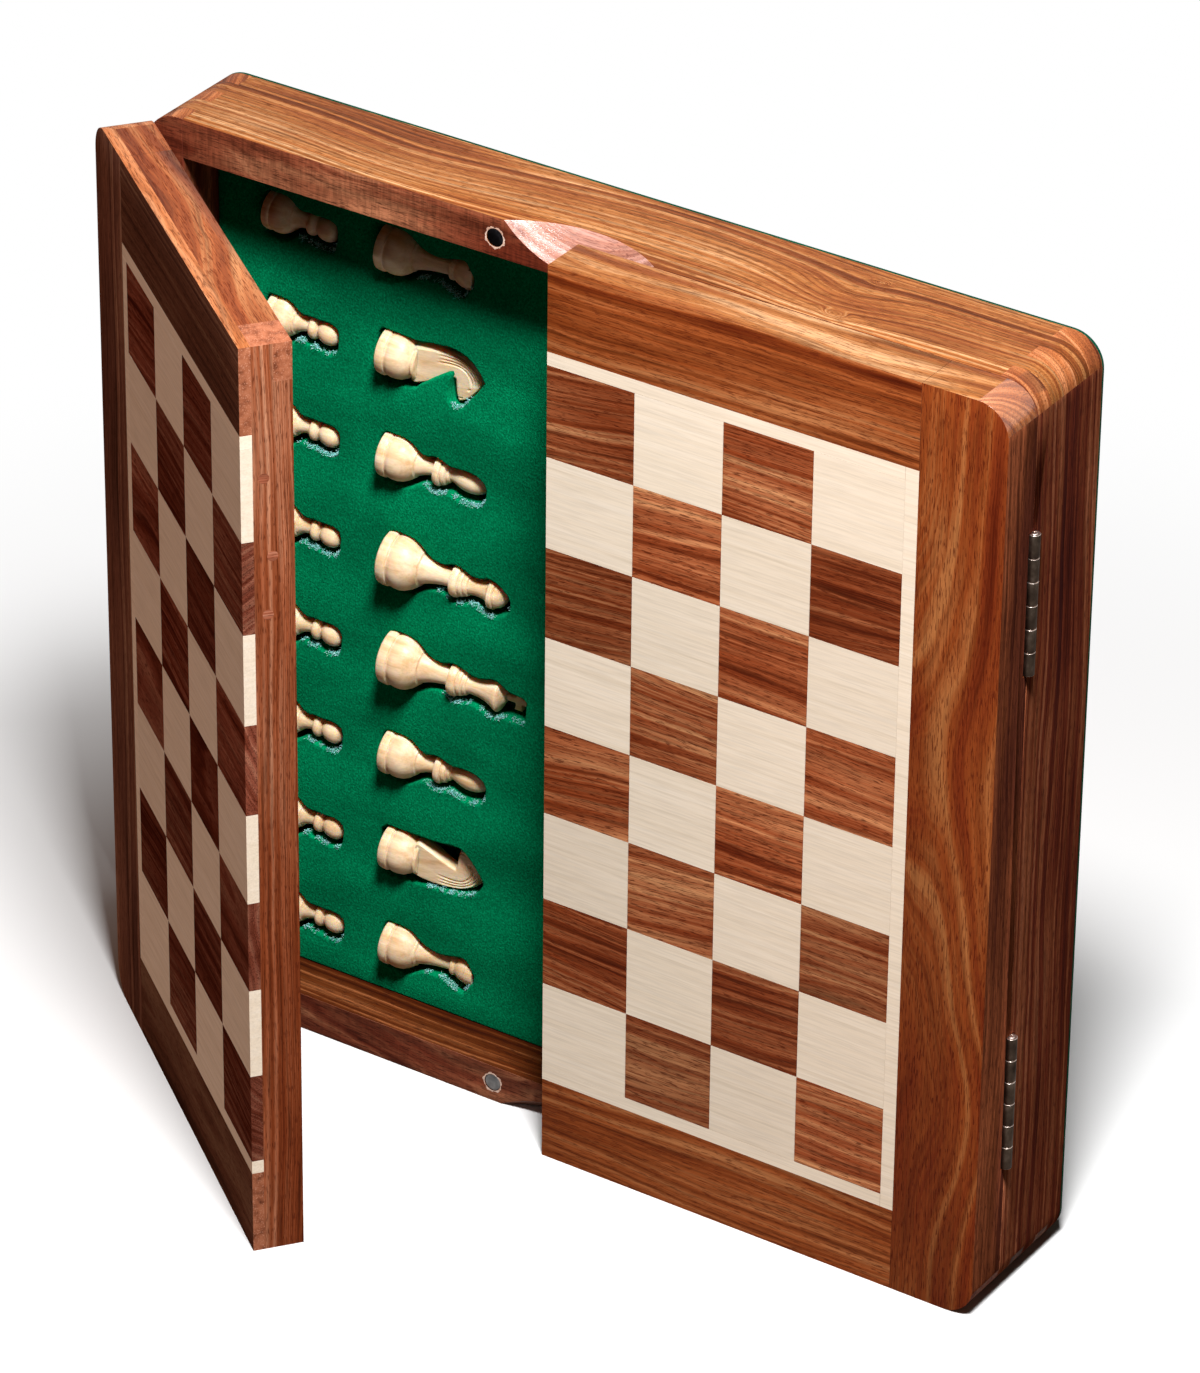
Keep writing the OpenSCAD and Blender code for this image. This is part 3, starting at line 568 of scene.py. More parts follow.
def board_group():
    """Half a board: the squares of one colour on a grid of 4 by 8, cut at the free edge."""
    group, given = new_group("board_squares", (
        ("Finish", "Material"), ("Side", "Float"), ("Joint", "Float"), ("Thickness", "Float"),
        ("Low row", "Float"), ("Face", "Float"), ("Trim", "Float"), ("Other colour", "Int")))
    side = given["Side"]
    grid = get("GeometryNodeMeshGrid", {"Size X": get("MULTIPLY", side, 3.0), "Vertices X": 4,
                                        "Size Y": get("MULTIPLY", side, 7.0), "Vertices Y": 8})
    # Columns and rows counted from 0
    parts = add("SeparateXYZ", {0: get("GeometryNodeInputPosition")}).outputs
    col = get("ROUND", get("ADD", get("DIVIDE", parts[0], side), 1.5))
    row = get("ROUND", get("ADD", get("DIVIDE", parts[1], side), 3.5))
    turn = get("ADD", get("ADD", col, row), get("ADD", given["Other colour"], 1.0))
    odd = get("MODULO", turn, 2.0)
    wrong = get("FunctionNodeCompare", {0: odd, 1: 0.5}, operation="GREATER_THAN")
    kept = get("GeometryNodeDeleteGeometry", {"Geometry": grid, "Selection": wrong})
    middle = get("CombineXYZ", get("MULTIPLY", get("ADD", col, 0.5), side),
                 get("MULTIPLY_ADD", given["Thickness"], 0.5, given["Face"]),
                 get("ADD", get("MULTIPLY", get("ADD", row, 0.5), side), given["Low row"]))
    kept = get("GeometryNodeSetPosition", {"Geometry": kept, "Position": middle})
    width = get("SUBTRACT", side, given["Joint"])
    tile = get("GeometryNodeMeshCube", get("CombineXYZ", width, given["Thickness"], width))
    tiles = get("GeometryNodeInstanceOnPoints", {"Points": kept, "Instance": tile})
    tiles = get("GeometryNodeRealizeInstances", tiles)
    # The middle joint takes its width off the squares beside it
    cut = get("VectorMath", {0: get("GeometryNodeInputPosition"),
                             1: get("CombineXYZ", given["Trim"], -1.0, -1.0)}, operation="MAXIMUM")
    tiles = get("GeometryNodeSetPosition", {"Geometry": tiles, "Position": cut})
    close_group(tiles, given["Finish"])
    return group


squares_group = board_group()


def board_squares(name, other, finish, body, node, move):
    """The squares of one colour on one door, as a plain mesh."""
    mesh = from_tree(linked("squares", bpy.data.meshes.new("squares")), squares_group, {
        "Finish": finish, "Side": SQUARE * MM, "Joint": GLUE * MM, "Thickness": INLAY_T * MM,
        "Low row": SQUARES_Z * MM, "Face": DOOR_FRONT * MM, "Trim": CENTRE * MM,
        "Other colour": other})
    return piece(name, mesh, body, finish, [node], move=move)


def door_finish(face):
    """Which of a door's finishes a face of its frame gets, on a closed right door: 0 stile,
    1 rail, 2 flat outer side, darker as painted shade, 3 rounded corner, paler as painted
    light, 4 top edge, 5 front strip of the top edge, 6 end grain at the free edge, and 7 the
    long grain behind it."""
    mid, way = face.calc_center_median() / MM, face.normal
    front = mid.y < DOOR_FRONT + INLAY_T
    if way.x < -0.7 and mid.x < 1.0:
        tenon = mid.z > CASE_H - TENON[0] and mid.y > DOOR_BACK - TENON[1]
        return 6 if front or tenon else 7
    if way.x > STRAIGHT:
        return 2
    if mid.x > HALF_W - CORNER_R - 0.5 and abs(way.y) < 0.9 and way.z > 0.1 and way.x > 0.02:
        return 3
    if way.z > 0.7 and mid.z > CASE_H - 1:
        return 5 if front else 6 if mid.x < CENTRE + TENON[2] else 4
    return 0 if mid.x > INLAY_X else 1


def door_edge(edge):
    """Edges of a door's front and back, leaving the joints and the inlay's seat sharp."""
    a, b = (v.co for v in edge.verts)
    seams = ((a.x, b.x, INLAY_X, 0.2), (a.z, b.z, RAIL_H, 0.1), (a.z, b.z, CASE_H - RAIL_H, 0.1))
    return ((near(a.y, DOOR_FRONT) or near(a.y, DOOR_BACK) or near(b.y, DOOR_FRONT))
            and not any(near(p, at, room) and near(q, at, room) for p, q, at, room in seams))


# Where one finish ends on a flat face: the front strip, the tenon's end and top, the stile
FINISH_ENDS = (((0, DOOR_FRONT + INLAY_T, 0), (0, 1, 0)), ((0, DOOR_BACK - TENON[1], 0), (0, 1, 0)),
               ((0, 0, CASE_H - TENON[0]), (0, 0, 1)), ((CENTRE + TENON[2], 0, 0), (1, 0, 0)),
               ((INLAY_X, 0, 0), (1, 0, 0)))
# Each door's flat outer side takes a dark palette as painted shade, and its rounded corner a pale one
# as painted light
for side, move, woods, core, line, squares in (
        ("right", None, (stile_wood, rail_wood, shaded_door_side_wood, lit_door_corner_wood,
                         right_top_wood, right_top_wood, right_top_wood, core_wood),
         core_wood, line_wood, (light_square_wood, dark_square_wood)),
        # The left door's stile, rails and dark squares take darker palettes than the right's as
        # painted shade
        ("left", SWING, (shaded_left_stile_wood, shaded_left_rail_wood, shaded_left_side_wood, lit_left_strip_wood,
                         left_top_wood, lit_left_strip_wood, left_end_wood, left_core_wood),
         left_core_wood, left_line_wood, (left_light_square_wood, shaded_left_dark_square_wood))):
    body = side + "_door"
    for shade, finish in zip(("light", "dark"), squares):
        board_squares(f"{side}_{shade}_squares_inlay", int((shade == "light") == (side == "right")),
                      finish, body, f"{side}_{shade}_squares", move)
    shape = cad_copy(f"{side}_door_frame")
    if move is not None:
        shape.transform(SWING.inverted())
        bmesh.ops.reverse_faces(shape, faces=shape.faces)
    eased(shape, door_edge, 0.7, 3)
    for point, way in FINISH_ENDS:
        bmesh.ops.bisect_plane(shape, geom=shape.verts[:] + shape.edges[:] + shape.faces[:],
                               plane_co=Vector(point) * MM, plane_no=way, dist=1e-7)
    piece(f"{side}_door_frame_wood", shape, body, painted(shape, woods, door_finish),
          [f"{side}_door_frame"], move=move)
    repaint(f"{side}_door_core", core)
    repaint(f"{side}_board_line", line)
    repaint(f"{side}_steel_sheet", sheet_metal)


# Three dowels end on the left door's free edge, a little paler than the wood round them
for k, (depth, height) in enumerate(((-22.2, 218.3), (-20.3, 197.2), (-21.6, 181.5))):
    plug = bmesh.new()
    bmesh.ops.create_cone(plug, cap_ends=True, segments=32, radius1=1.4 * MM,
                          radius2=1.36 * MM, depth=0.6 * MM)
    plug.transform(shifted(CENTRE + 0.28, depth, height) @ turned(-90, "Y"))
    piece(f"left_dowel_{k + 1}", plug, "left_door", plug_wood, move=SWING)


# ---------- hinges and magnets ----------

def soft_metal(name, node, body, finishes, width):
    """A CAD part with its sharp edges eased all round; a second finish goes on the ends of
    hinge pieces, and a near-black one as painted shade on the upper magnets."""
    shape = eased(cad_copy(node), lambda e: True, width)
    if len(finishes) > 1:
        for face in shape.faces:
            face.material_index = int(face.calc_center_median().z > CASE_H / 2 * MM
                                      if dark_magnet_shade in finishes else abs(face.normal.z) > 0.3)
    return piece(name, shape, body, finishes, [node], smooth=40.0)


hinge_finishes = (hinge_metal, knuckle_metal)
for part, body in (("case", "case"), ("left", "left_door"), ("right", "right_door")):
    soft_metal(part + "_hinge_leaf_pair", part + "_hinge_leaves", body, hinge_finishes, 0.22)
soft_metal("hinge_pin_rods", "hinge_pins", "case", hinge_finishes, 0.2)
# Near-black metal as painted shade and reflection on the upper rail's magnets, nickel plated magnets
# everywhere else
for part, body, finishes in (("case", "case", (magnet_metal, dark_magnet_shade)),
                             ("left", "left_door", (magnet_metal,)),
                             ("right", "right_door", (magnet_metal,))):
    soft_metal(part + "_magnet_discs", body + "_magnets", body, finishes, 0.3)
# The wood chips a little where a magnet's hole was bored: a pale ragged ring
for name, x, height in ((f"{side}_{level}", x, height)
                        for side, x in (("left", -MAGNET_X), ("right", MAGNET_X))
                        for level, height in (("low", MAGNET_IN), ("high", CASE_H - MAGNET_IN))):
    ring = bmesh.new()
    loops = [[], [], []]
    for k in range(72):
        turn = 2 * pi * k / 72
        ragged = 0.16 * sin(5 * turn + height) + 0.12 * sin(11 * turn) + 0.08 * sin(23 * turn)
        for loop, (radius, lift) in zip(loops, ((2.42, 0.0), (2.6, 0.03), (2.85 + ragged, 0.0))):
            loop.append(ring.verts.new(Vector((x + radius * cos(turn), CASE_FRONT - lift,
                                               height + radius * sin(turn))) * MM))
    skinned(ring, loops + loops[:1])
    bmesh.ops.recalc_face_normals(ring, faces=ring.faces)
    piece("magnet_rim_" + name, ring, "case", chipped_wood, smooth=60)
for part in ("case", "left", "right"):
    repaint(part + "_hinge_screws", screw_metal)


# ---------- men ----------

MEN_ROWS = ("rook_1", "knight_1", "bishop_1", "king", "queen", "bishop_2", "knight_2", "rook_2")
PITCH, DROP, LEAN = 28.8, 0.6, 4.0
BASE_X = {"king": 65.8, "queen": 65.8, "bishop": 67.2, "knight": 67.2, "rook": 67.2, "pawn": 101.7}
# Tilt of each kind in its nest and the depth of its base's middle
LIES = {"king": (5.7, -0.223), "queen": (5.3, -0.20), "bishop": (6.8, 0.90),
        "knight": (6.0, 0.956), "rook": (6.0, 0.884), "pawn": (0.0, 2.2)}
KING_H, ROOK_H = 41.0, 26.6

def pairs(text):
    """'a b, c d' as pairs of numbers."""
    return [tuple(float(number) for number in item.split()) for item in text.split(",")]


# Half outlines of the turned men: radius and height
ROYAL_FOOT = pairs("0 0, 6.9 0, 7.25 0.3, 7.45 1.2, 7.5 2.2, 7.35 2.7, 6.95 2.9, 6.95 3.2, "
                   "7.2 3.5, 7.45 4.5, 7.5 5.6, 7.25 7")
OFFICER_FOOT = pairs("0 0, 5.75 0, 6.05 0.25, 6.25 1, 6.3 1.95, 6.15 2.4, 5.85 2.6, 5.85 2.85, "
                     "6.05 3.1, 6.27 4")
PROFILES = {
    "king": ROYAL_FOOT + pairs(
        "6.45 8.5, 5.7 9.4, 5.05 10, 4.95 10.25, 4.6 10.35, 4.35 10.5, 3.95 11.4, 3.45 12.7, "
        "3 14.4, 2.7 16.4, 2.5 18.4, 2.5 18.6, 3.7 18.65, 4.4 18.85, 4.7 19.6, 4.7 20.4, "
        "4.4 21, 3.95 21.2, 3.95 21.4, 4.1 21.8, 3.95 22.4, 3.55 22.6, 3.45 22.85, 3.55 23.2, "
        "3.35 23.6, 2.9 23.8, 2.75 24.4, 2.75 25.5, 2.9 27.5, 3.4 29.4, 4.1 31.1, 4.75 32.3, "
        "4.8 32.7, 4.5 33, 3.6 33.3, 2.6 33.8, 1.8 34.4, 0 34.44"),
    "queen": ROYAL_FOOT + pairs(
        "6.45 8.6, 5.7 9.6, 5.05 10.2, 4.95 10.5, 4.55 10.6, 4.25 10.8, 3.85 11.8, 3.4 13.1, "
        "2.95 14.8, 2.62 17, 2.47 18.9, 2.47 19.2, 3.6 19.25, 4.25 19.5, 4.55 20.2, 4.55 21, "
        "4.25 21.5, 3.8 21.7, 3.8 21.9, 3.95 22.3, 3.8 22.8, 3.4 23, 3.35 23.3, 3.45 23.6, "
        "3.25 24, 2.8 24.2, 2.6 24.8, 2.5 26, 2.55 27.4, 2.8 28.6, 3.3 29.6, 4.15 30.1, "
        "4.35 30.4, 4.35 31.4, 4.15 31.6, 3.75 31.7, 3.75 31.85, 3.85 32.1, 3.4 33.2, 2.4 34.1, "
        "1.3 34.6, 0.8 34.75, 0.5 34.95, 0 35"),
    "bishop": OFFICER_FOOT + pairs(
        "6.3 5.3, 6.05 6.7, 5.42 8, 4.8 8.8, 4.25 9.4, 4.16 9.7, 3.8 9.85, 3.55 10, "
        "3.15 10.9, 2.7 11.9, 2.35 13.2, 2.15 14.5, 2.12 14.9, 3.3 14.95, 4 15.1, 4.28 15.7, "
        "4.3 16.3, 4 16.8, 3.55 16.95, 3.55 17.15, 3.7 17.5, 3.5 18.1, 2.95 18.3, 2.75 18.45, "
        "2.8 18.8, 2.6 19.15, 2.2 19.3, 2.15 19.6, 2.3 20.3, 2.75 21.4, 3.2 22.6, 3.48 24, "
        "3.56 25.4, 3.4 26.8, 2.95 28.1, 2.2 29.3, 1.25 30, 0.45 30.34, 0 30.4"),
    "knight": OFFICER_FOOT + pairs(
        "6.3 5.2, 6.05 6.6, 5.4 7.9, 4.8 8.7, 4.3 9.1, 4.2 9.4, 4.6 9.5, 4.9 9.7, 4.9 10.1, "
        "4.5 10.4, 0 10.45"),
    "rook": OFFICER_FOOT + pairs(
        "6.3 5.1, 6.1 6.5, 5.42 7.8, 4.75 8.7, 4.25 9.2, 4.16 9.6, 3.8 9.8, 3.5 10, 3.05 11.6, "
        "2.6 13.7, 2.35 15.9, 2.2 18.3, 2.2 19.3, 2.8 19.4, 3.12 19.7, 3.15 20.3, 2.9 20.8, "
        "2.95 21.1, 3.3 21.5, 3.7 22.3, 3.95 23.1, 4.1 23.9, 4.12 24.3, 4.26 24.4, 4.27 26.4, "
        "4.15 26.6, 2.7 26.6, 2.6 26.5, 2.6 25, 0 24.9"),
    "pawn": pairs(
        "0 0, 5.1 0, 5.4 0.2, 5.55 0.8, 5.6 1.7, 5.45 2.05, 5.2 2.2, 5.2 2.45, 5.35 2.7, "
        "5.57 3.5, 5.6 4.3, 5.4 5.4, 4.82 6.45, 4.2 7.2, 3.78 7.55, 3.7 7.85, 3.4 7.95, 3.15 8.1, "
        "2.75 8.8, 2.35 9.7, 2.05 10.8, 1.9 11.7, 2.3 11.8, 2.8 12.05, 3.1 12.5, 3.2 13, "
        "3.1 13.5, 2.8 13.95, 2.3 14.2, 1.9 14.35, 1.9 14.55, 2.4 15, 2.9 15.7, 3.2 16.6, "
        "3.3 17.6, 3.15 18.6, 2.7 19.5, 2 20.1, 1.1 20.5, 0 20.6"),
}
# A knight's head from the side: the mane's edge from the foot to the muzzle's upper corner,
# and opposite each of its points one on the chest, the notch under the jaw and the muzzle
MANE = pairs("-4.9 9.2, -5.4 10.6, -5.8 13.4, -6 16.5, -5.8 19.4, -5.3 22.1, -4.4 24.4, "
             "-3.1 26.4, -1.4 27.9, 0.3 28.4, 2 27.7, 3.9 26.4, 5.7 24.8, 6.9 22.9")
CHEST = pairs("5.5 9.2, 5.75 10.3, 4.6 13.1, 3.3 15.7, 2.2 18, 1.5 19.5, 1.2 20.2, 1.5 20.4, "
              "2.3 20.5, 3.2 20.55, 4.1 20.65, 5 20.8, 5.9 21, 6.7 21.35")
# Half the head's thickness at those points, which thins towards the muzzle
HALF_T = [2.5, 2.5, 2.35, 2.15, 1.95, 1.8, 1.75, 1.7, 1.65, 1.6, 1.6, 1.55, 1.5, 1.4]


def spun(profile, steps=56):
    """A closed turned shape about Z from (radius, height) pairs, in metres."""
    shape = bmesh.new()
    skinned(shape, [[shape.verts.new((radius * MM * cos(2 * pi * i / steps),
                                      radius * MM * sin(2 * pi * i / steps), height * MM))
                     for i in range(steps if radius else 1)] for radius, height in profile])
    return shape


def join(shape, other):
    """Adds another bmesh to this one."""
    mesh = as_mesh("part", other)
    shape.from_mesh(mesh)
    bpy.data.meshes.remove(mesh)


def prism(outline, levels):
    """A plate in the XZ plane with rounded edges: levels are (inset, half thickness)."""
    shape = bmesh.new()
    count = len(outline)
    points = [Vector(p) for p in outline]
    outward = []
    for i in range(count):
        before = (points[i] - points[i - 1]).normalized()
        after = (points[(i + 1) % count] - points[i]).normalized()
        way = Vector((before.y + after.y, -before.x - after.x)).normalized()
        outward.append(way / max(0.6, way.dot(Vector((before.y, -before.x)))))
    loops = []
    for sign, order in ((-1, levels[::-1]), (1, levels)):
        for inset, half in order:
            loops.append([shape.verts.new(((p.x - w.x * inset) * MM, sign * half * MM,
                                           (p.y - w.y * inset) * MM))
                          for p, w in zip(points, outward)])
    skinned(shape, loops)
    shape.faces.new(loops[0])
    shape.faces.new(loops[-1])
    bmesh.ops.recalc_face_normals(shape, faces=shape.faces)
    return shape


def cut_with(shape, cutter):
    """The shape less the cutter, by an exact boolean, as a new bmesh."""
    body, tool = (linked("cut", as_mesh("cut", made)) for made in (shape, cutter))
    step = body.modifiers.new("cut", "BOOLEAN")
    step.object, step.operation, step.solver = tool, "DIFFERENCE", "EXACT"
    mesh = baked(body, tool)
    result = bmesh.new()
    result.from_mesh(mesh)
    bpy.data.meshes.remove(mesh)
    return result


def bar(low, high):
    """A box between two corners, in millimetres."""
    shape = bmesh.new()
    bmesh.ops.create_cube(shape, size=1.0)
    low, high = Vector(low), Vector(high)
    for v in shape.verts:
        v.co = Vector(low[k] + (high[k] - low[k]) * (v.co[k] + 0.5) for k in range(3)) * MM
    return shape


def king_shape():
    """The turned king with the sawn cross on its crown."""
    shape = spun(PROFILES["king"])
    arm, thick, foot, mid = 2.7, 0.95, 33.9, 38.0
    half_cross = [(0.8, foot), (0.75, mid - 1.3), (1.0, mid - 0.85), (arm, mid - 1.1),
                  (arm, mid + 1.1), (1.0, mid + 0.85), (0.85, mid + 1.1), (1.15, KING_H - 0.1),
                  (0.9, KING_H)]
    cross = [(-0.8, foot)] + half_cross + [(-x, z) for x, z in half_cross[:0:-1]]
    join(shape, prism(cross, [(0.0, thick - 0.2), (0.2, thick)]))
    return shape


def rook_shape():
    """The turned rook with four notches sawn through its battlement."""
    shape = spun(PROFILES["rook"])
    bmesh.ops.recalc_face_normals(shape, faces=shape.faces)
    for wide, deep in ((7, 0.7), (0.7, 7)):
        shape = cut_with(shape, bar((-wide, -deep, ROOK_H - 1.45), (wide, deep, ROOK_H + 1)))
    return shape


def along_line(points, t):
    """A point on a smooth line through the points, at t counted in points."""
    k = min(int(t), len(points) - 2)
    u = t - k
    a, b, c, d = (points[max(0, min(len(points) - 1, k + n))] for n in (-1, 0, 1, 2))
    return tuple(0.5 * (2 * q + (r - p) * u + (2 * p - 5 * q + 4 * r - w) * u * u
                        + (3 * q - p - 3 * r + w) * u ** 3) for p, q, r, w in zip(a, b, c, d))


def carved(part, t):
    """How deep the carving cuts into a face of the knight's head: four mane grooves along
    the crest, an eye and a mouth."""
    deep = 0.0
    reach = min(1.0, max(0.0, (t - 2.6) / 1.4)) * min(1.0, max(0.0, (9.6 - t) / 1.2))
    for k in range(4):
        deep += 0.5 * reach * exp(-((part - 0.07 - 0.105 * k) / 0.026) ** 2)
    deep += 0.45 * exp(-((part - 0.42) / 0.05) ** 2 - ((t - 10.1) / 0.22) ** 2)
    deep += 0.4 * exp(-((t - 12.1) / 0.16) ** 2) * min(1.0, max(0.0, (part - 0.42) / 0.1))
    return deep


def knight_shape():
    """A turned foot with a flat carved head: a loft from the mane's edge to the chest's."""
    shape = spun(PROFILES["knight"])
    across, levels = 34, 110
    rings = []
    for n in range(levels + 1):
        t = n / levels * (len(MANE) - 1)
        (x0, z0), (x1, z1) = along_line(MANE, t), along_line(CHEST, t)
        half = along_line([(h,) for h in HALF_T], t)[0]
        wide = sqrt((x1 - x0) ** 2 + (z1 - z0) ** 2)
        ring = []
        for sign in (1, -1):
            for k in range(across):
                part = k / across if sign > 0 else 1 - k / across
                rim = min(part, 1 - part) * wide
                y = half * (1 - max(0.0, 1 - rim / 1.1) ** 2.4)
                y = max(0.0, y - carved(part, t) * min(1.0, rim / 0.5)) * sign
                ring.append(shape.verts.new(((x0 + (x1 - x0) * part) * MM, y * MM,
                                             (z0 + (z1 - z0) * part) * MM)))
        rings.append(ring)
    skinned(shape, rings)
    shape.faces.new(rings[0][::-1])
    shape.faces.new(rings[-1])
    return shape


def place_z(i):
    return CASE_H / 2 + (i - 3.5) * PITCH


def lying(kind, i, flip):
    """From a man standing at the origin to his place in the nest; flip is the dark side."""
    tilt, base_y = LIES[kind]
    place = (shifted(-BASE_X[kind], base_y, place_z(i) - DROP) @ turned(tilt, "Z")
             @ turned(90 + LEAN, "Y"))
    if kind == "knight" and i < 4:
        place = place @ MIRROR
    if kind == "rook":
        place = place @ turned(45, "Z")
    return MIRROR @ place if flip else place


shapes = {}
for kind in PROFILES:
    made_by = {"king": king_shape, "rook": rook_shape, "knight": knight_shape}.get(kind)
    shape = made_by() if made_by else spun(PROFILES[kind])
    if kind != "rook":
        bmesh.ops.recalc_face_normals(shape, faces=shape.faces)
    shapes[kind] = as_mesh(kind, shape)
for colour, flip, finish, slot in (("light", False, boxwood, "boxwood"),
                                   ("dark", True, stained_wood, "stained_rosewood")):
    for i, name in enumerate(MEN_ROWS):
        for man, kind in ((name, name.split("_")[0]), (f"pawn_{i + 1}", "pawn")):
            body = f"{colour}_{man}"
            piece(body + "_turned", shapes[kind].copy(), body, finish, [body],
                  move=lying(kind, i, flip), smooth=32)


# ---------- velvet nests ----------

def radius_at(kind, height):
    """The turned radius at a height, in millimetres."""
    line = PROFILES[kind]
    if height < 0 or height > line[-1][1]:
        return 2.7 if kind == "king" and 0 < height < KING_H else 0.0
    best = 0.0
    for (r0, z0), (r1, z1) in zip(line, line[1:]):
        if z0 <= height <= z1:
            part = 0 if z1 == z0 else (height - z0) / (z1 - z0)
            best = max(best, r0 + (r1 - r0) * part)
    return best


# The knights' cut-outs as (distance along him, distance from his middle): with the muzzle
# down a tongue of velvet reaches under his jaw
NEST_DOWN = pairs("-1.3 -5.2, -1.3 5, 0 6.5, 9 6.5, 11.2 6.6, 14.8 7.5, 17.7 7.9, 20 8.3, "
                  "22.7 8.1, 25 7.4, 26.9 6.4, 29.4 3.9, 30.6 2.1, 28.2 -1.9, 26.2 -4.5, "
                  "25.2 -6.3, 24.2 -7.4, 22.4 -7.9, 20.8 -7.2, 20 -5.4, 19.9 -3.6, 20.2 -1.2, "
                  "20.7 0.4, 20.3 1.2, 19.2 0.8, 15.4 -2, 11.8 -5.1, 10.4 -6.7, 6.1 -7.7, "
                  "2 -8.2, -0.6 -7.2")
NEST_UP = pairs("-1.3 -5.2, -1.3 5.2, 0.3 6.8, 7.5 7.2, 13.7 7.7, 17.2 8.1, 19.8 8.7, 22.4 9, "
                "23.8 8.5, 25.5 7.3, 27.7 5.1, 30.2 2.1, 30.4 0.9, 28.9 -2.1, 27.3 -3.7, "
                "24.3 -5, 20.5 -5.8, 16.4 -6.2, 13 -6.5, 10.5 -7.1, 6 -7.6, 2 -8, "
                "-0.6 -7.2")


def nest_path(kind, turned_up):
    """The outline of a cut-out beside the man's axis: it hugs him above and leaves room
    below him and beyond his foot and head."""
    if kind == "knight":
        return NEST_UP if turned_up else NEST_DOWN
    top = KING_H if kind == "king" else PROFILES[kind][-1][1]
    if kind == "rook":
        top = ROOK_H
    end = top + {"queen": 2.0, "rook": 0.9, "king": 0.9}.get(kind, 0.7)
    stations = [-1.3 + (end + 1.3) * k / 44 for k in range(45)]
    upper, lower = [], []
    for z in stations:
        spread = [radius_at(kind, min(z + d, top - 0.3)) for d in (-1.0, -0.5, 0, 0.5, 1.0)]
        broad = [radius_at(kind, min(z + 1.2 * d, top - 0.3)) for d in (-3, -2, -1, 0, 1, 2, 3)]
        grow = max(0.0, z) / top
        upper.append(max(max(spread), sum(broad) / len(broad)) + 0.3 + 0.4 * grow)
        lower.append(max(spread) + 0.9 + 0.7 * grow)
    for side in (upper, lower):
        for _ in range(3):
            side[1:-1] = [(a + 2 * b + c) / 4 for a, b, c in zip(side, side[1:], side[2:])]
        side[0] *= 0.86
        side[-1] *= {"rook": 0.9, "queen": 0.45, "king": 0.8}.get(kind, 0.62)
    return list(zip(stations, upper)) + [(z, -w) for z, w in reversed(list(zip(stations, lower)))]


def nest_outline(kind, i, flip):
    """The outline of one cut-out on the velvet, as (x, z) in millimetres."""
    lean = radians(LEAN)
    made = []
    for z, w in nest_path(kind, i < 4):
        x = -BASE_X[kind] + z * cos(lean) + w * sin(lean)
        y = place_z(i) - DROP - z * sin(lean) + w * cos(lean)
        made.append((-x if flip else x, y))
    return made


def nest_block():
    """The velvet block: a filled flat outline with its holes, given depth and rounded lips."""
    inner_x, low, high = HALF_W - WALL, WALL, CASE_H - WALL
    data = bpy.data.curves.new("nest", "CURVE")
    data.dimensions = "2D"
    data.fill_mode = "BOTH"
    lip = 0.7
    data.extrude = ((FLOOR_Y + 0.1 - VELVET_Y) / 2 - lip) * MM
    data.bevel_depth = lip * MM
    data.bevel_resolution = 3
    data.offset = -lip * MM
    border = [(-inner_x, low), (inner_x, low), (inner_x, high), (-inner_x, high)]
    outlines = [border]
    for i, name in enumerate(MEN_ROWS):
        for flip in (False, True):
            outlines.append(nest_outline(name.split("_")[0], i, flip))
            outlines.append(nest_outline("pawn", i, flip))
    for outline in outlines:
        line = data.splines.new("POLY")
        line.points.add(len(outline) - 1)
        line.use_cyclic_u = True
        for point, (x, z) in zip(line.points, outline):
            point.co = (x * MM, z * MM, 0, 1)
    mesh = baked(linked("nest", data))
    # The flat curve lies in XY: it is stood up with its face towards -Y
    depth = (VELVET_Y + FLOOR_Y + 0.1) / 2
    mesh.transform(shifted(0, depth, 0) @ turned(90, "X"))
    shape = bmesh.new()
    shape.from_mesh(mesh)
    bmesh.ops.remove_doubles(shape, verts=shape.verts, dist=1e-6)
    bmesh.ops.recalc_face_normals(shape, faces=shape.faces)
    for face in shape.faces:
        inside = all(v.co.y > (VELVET_Y + 0.75) * MM for v in face.verts)
        face.material_index = 1 if inside else 0
    back = bar((-inner_x, FLOOR_Y, low), (inner_x, PANEL_Y, high))
    for face in back.faces:
        face.material_index = 1
    join(shape, back)
    return shape


nests = piece("nest_velvet", nest_block(), "case", [velvet, nest_felt], ["nest_insert"],
              smooth=50)

# ---------- cut fibres on the nests' lower lips, pale as partly painted light ---

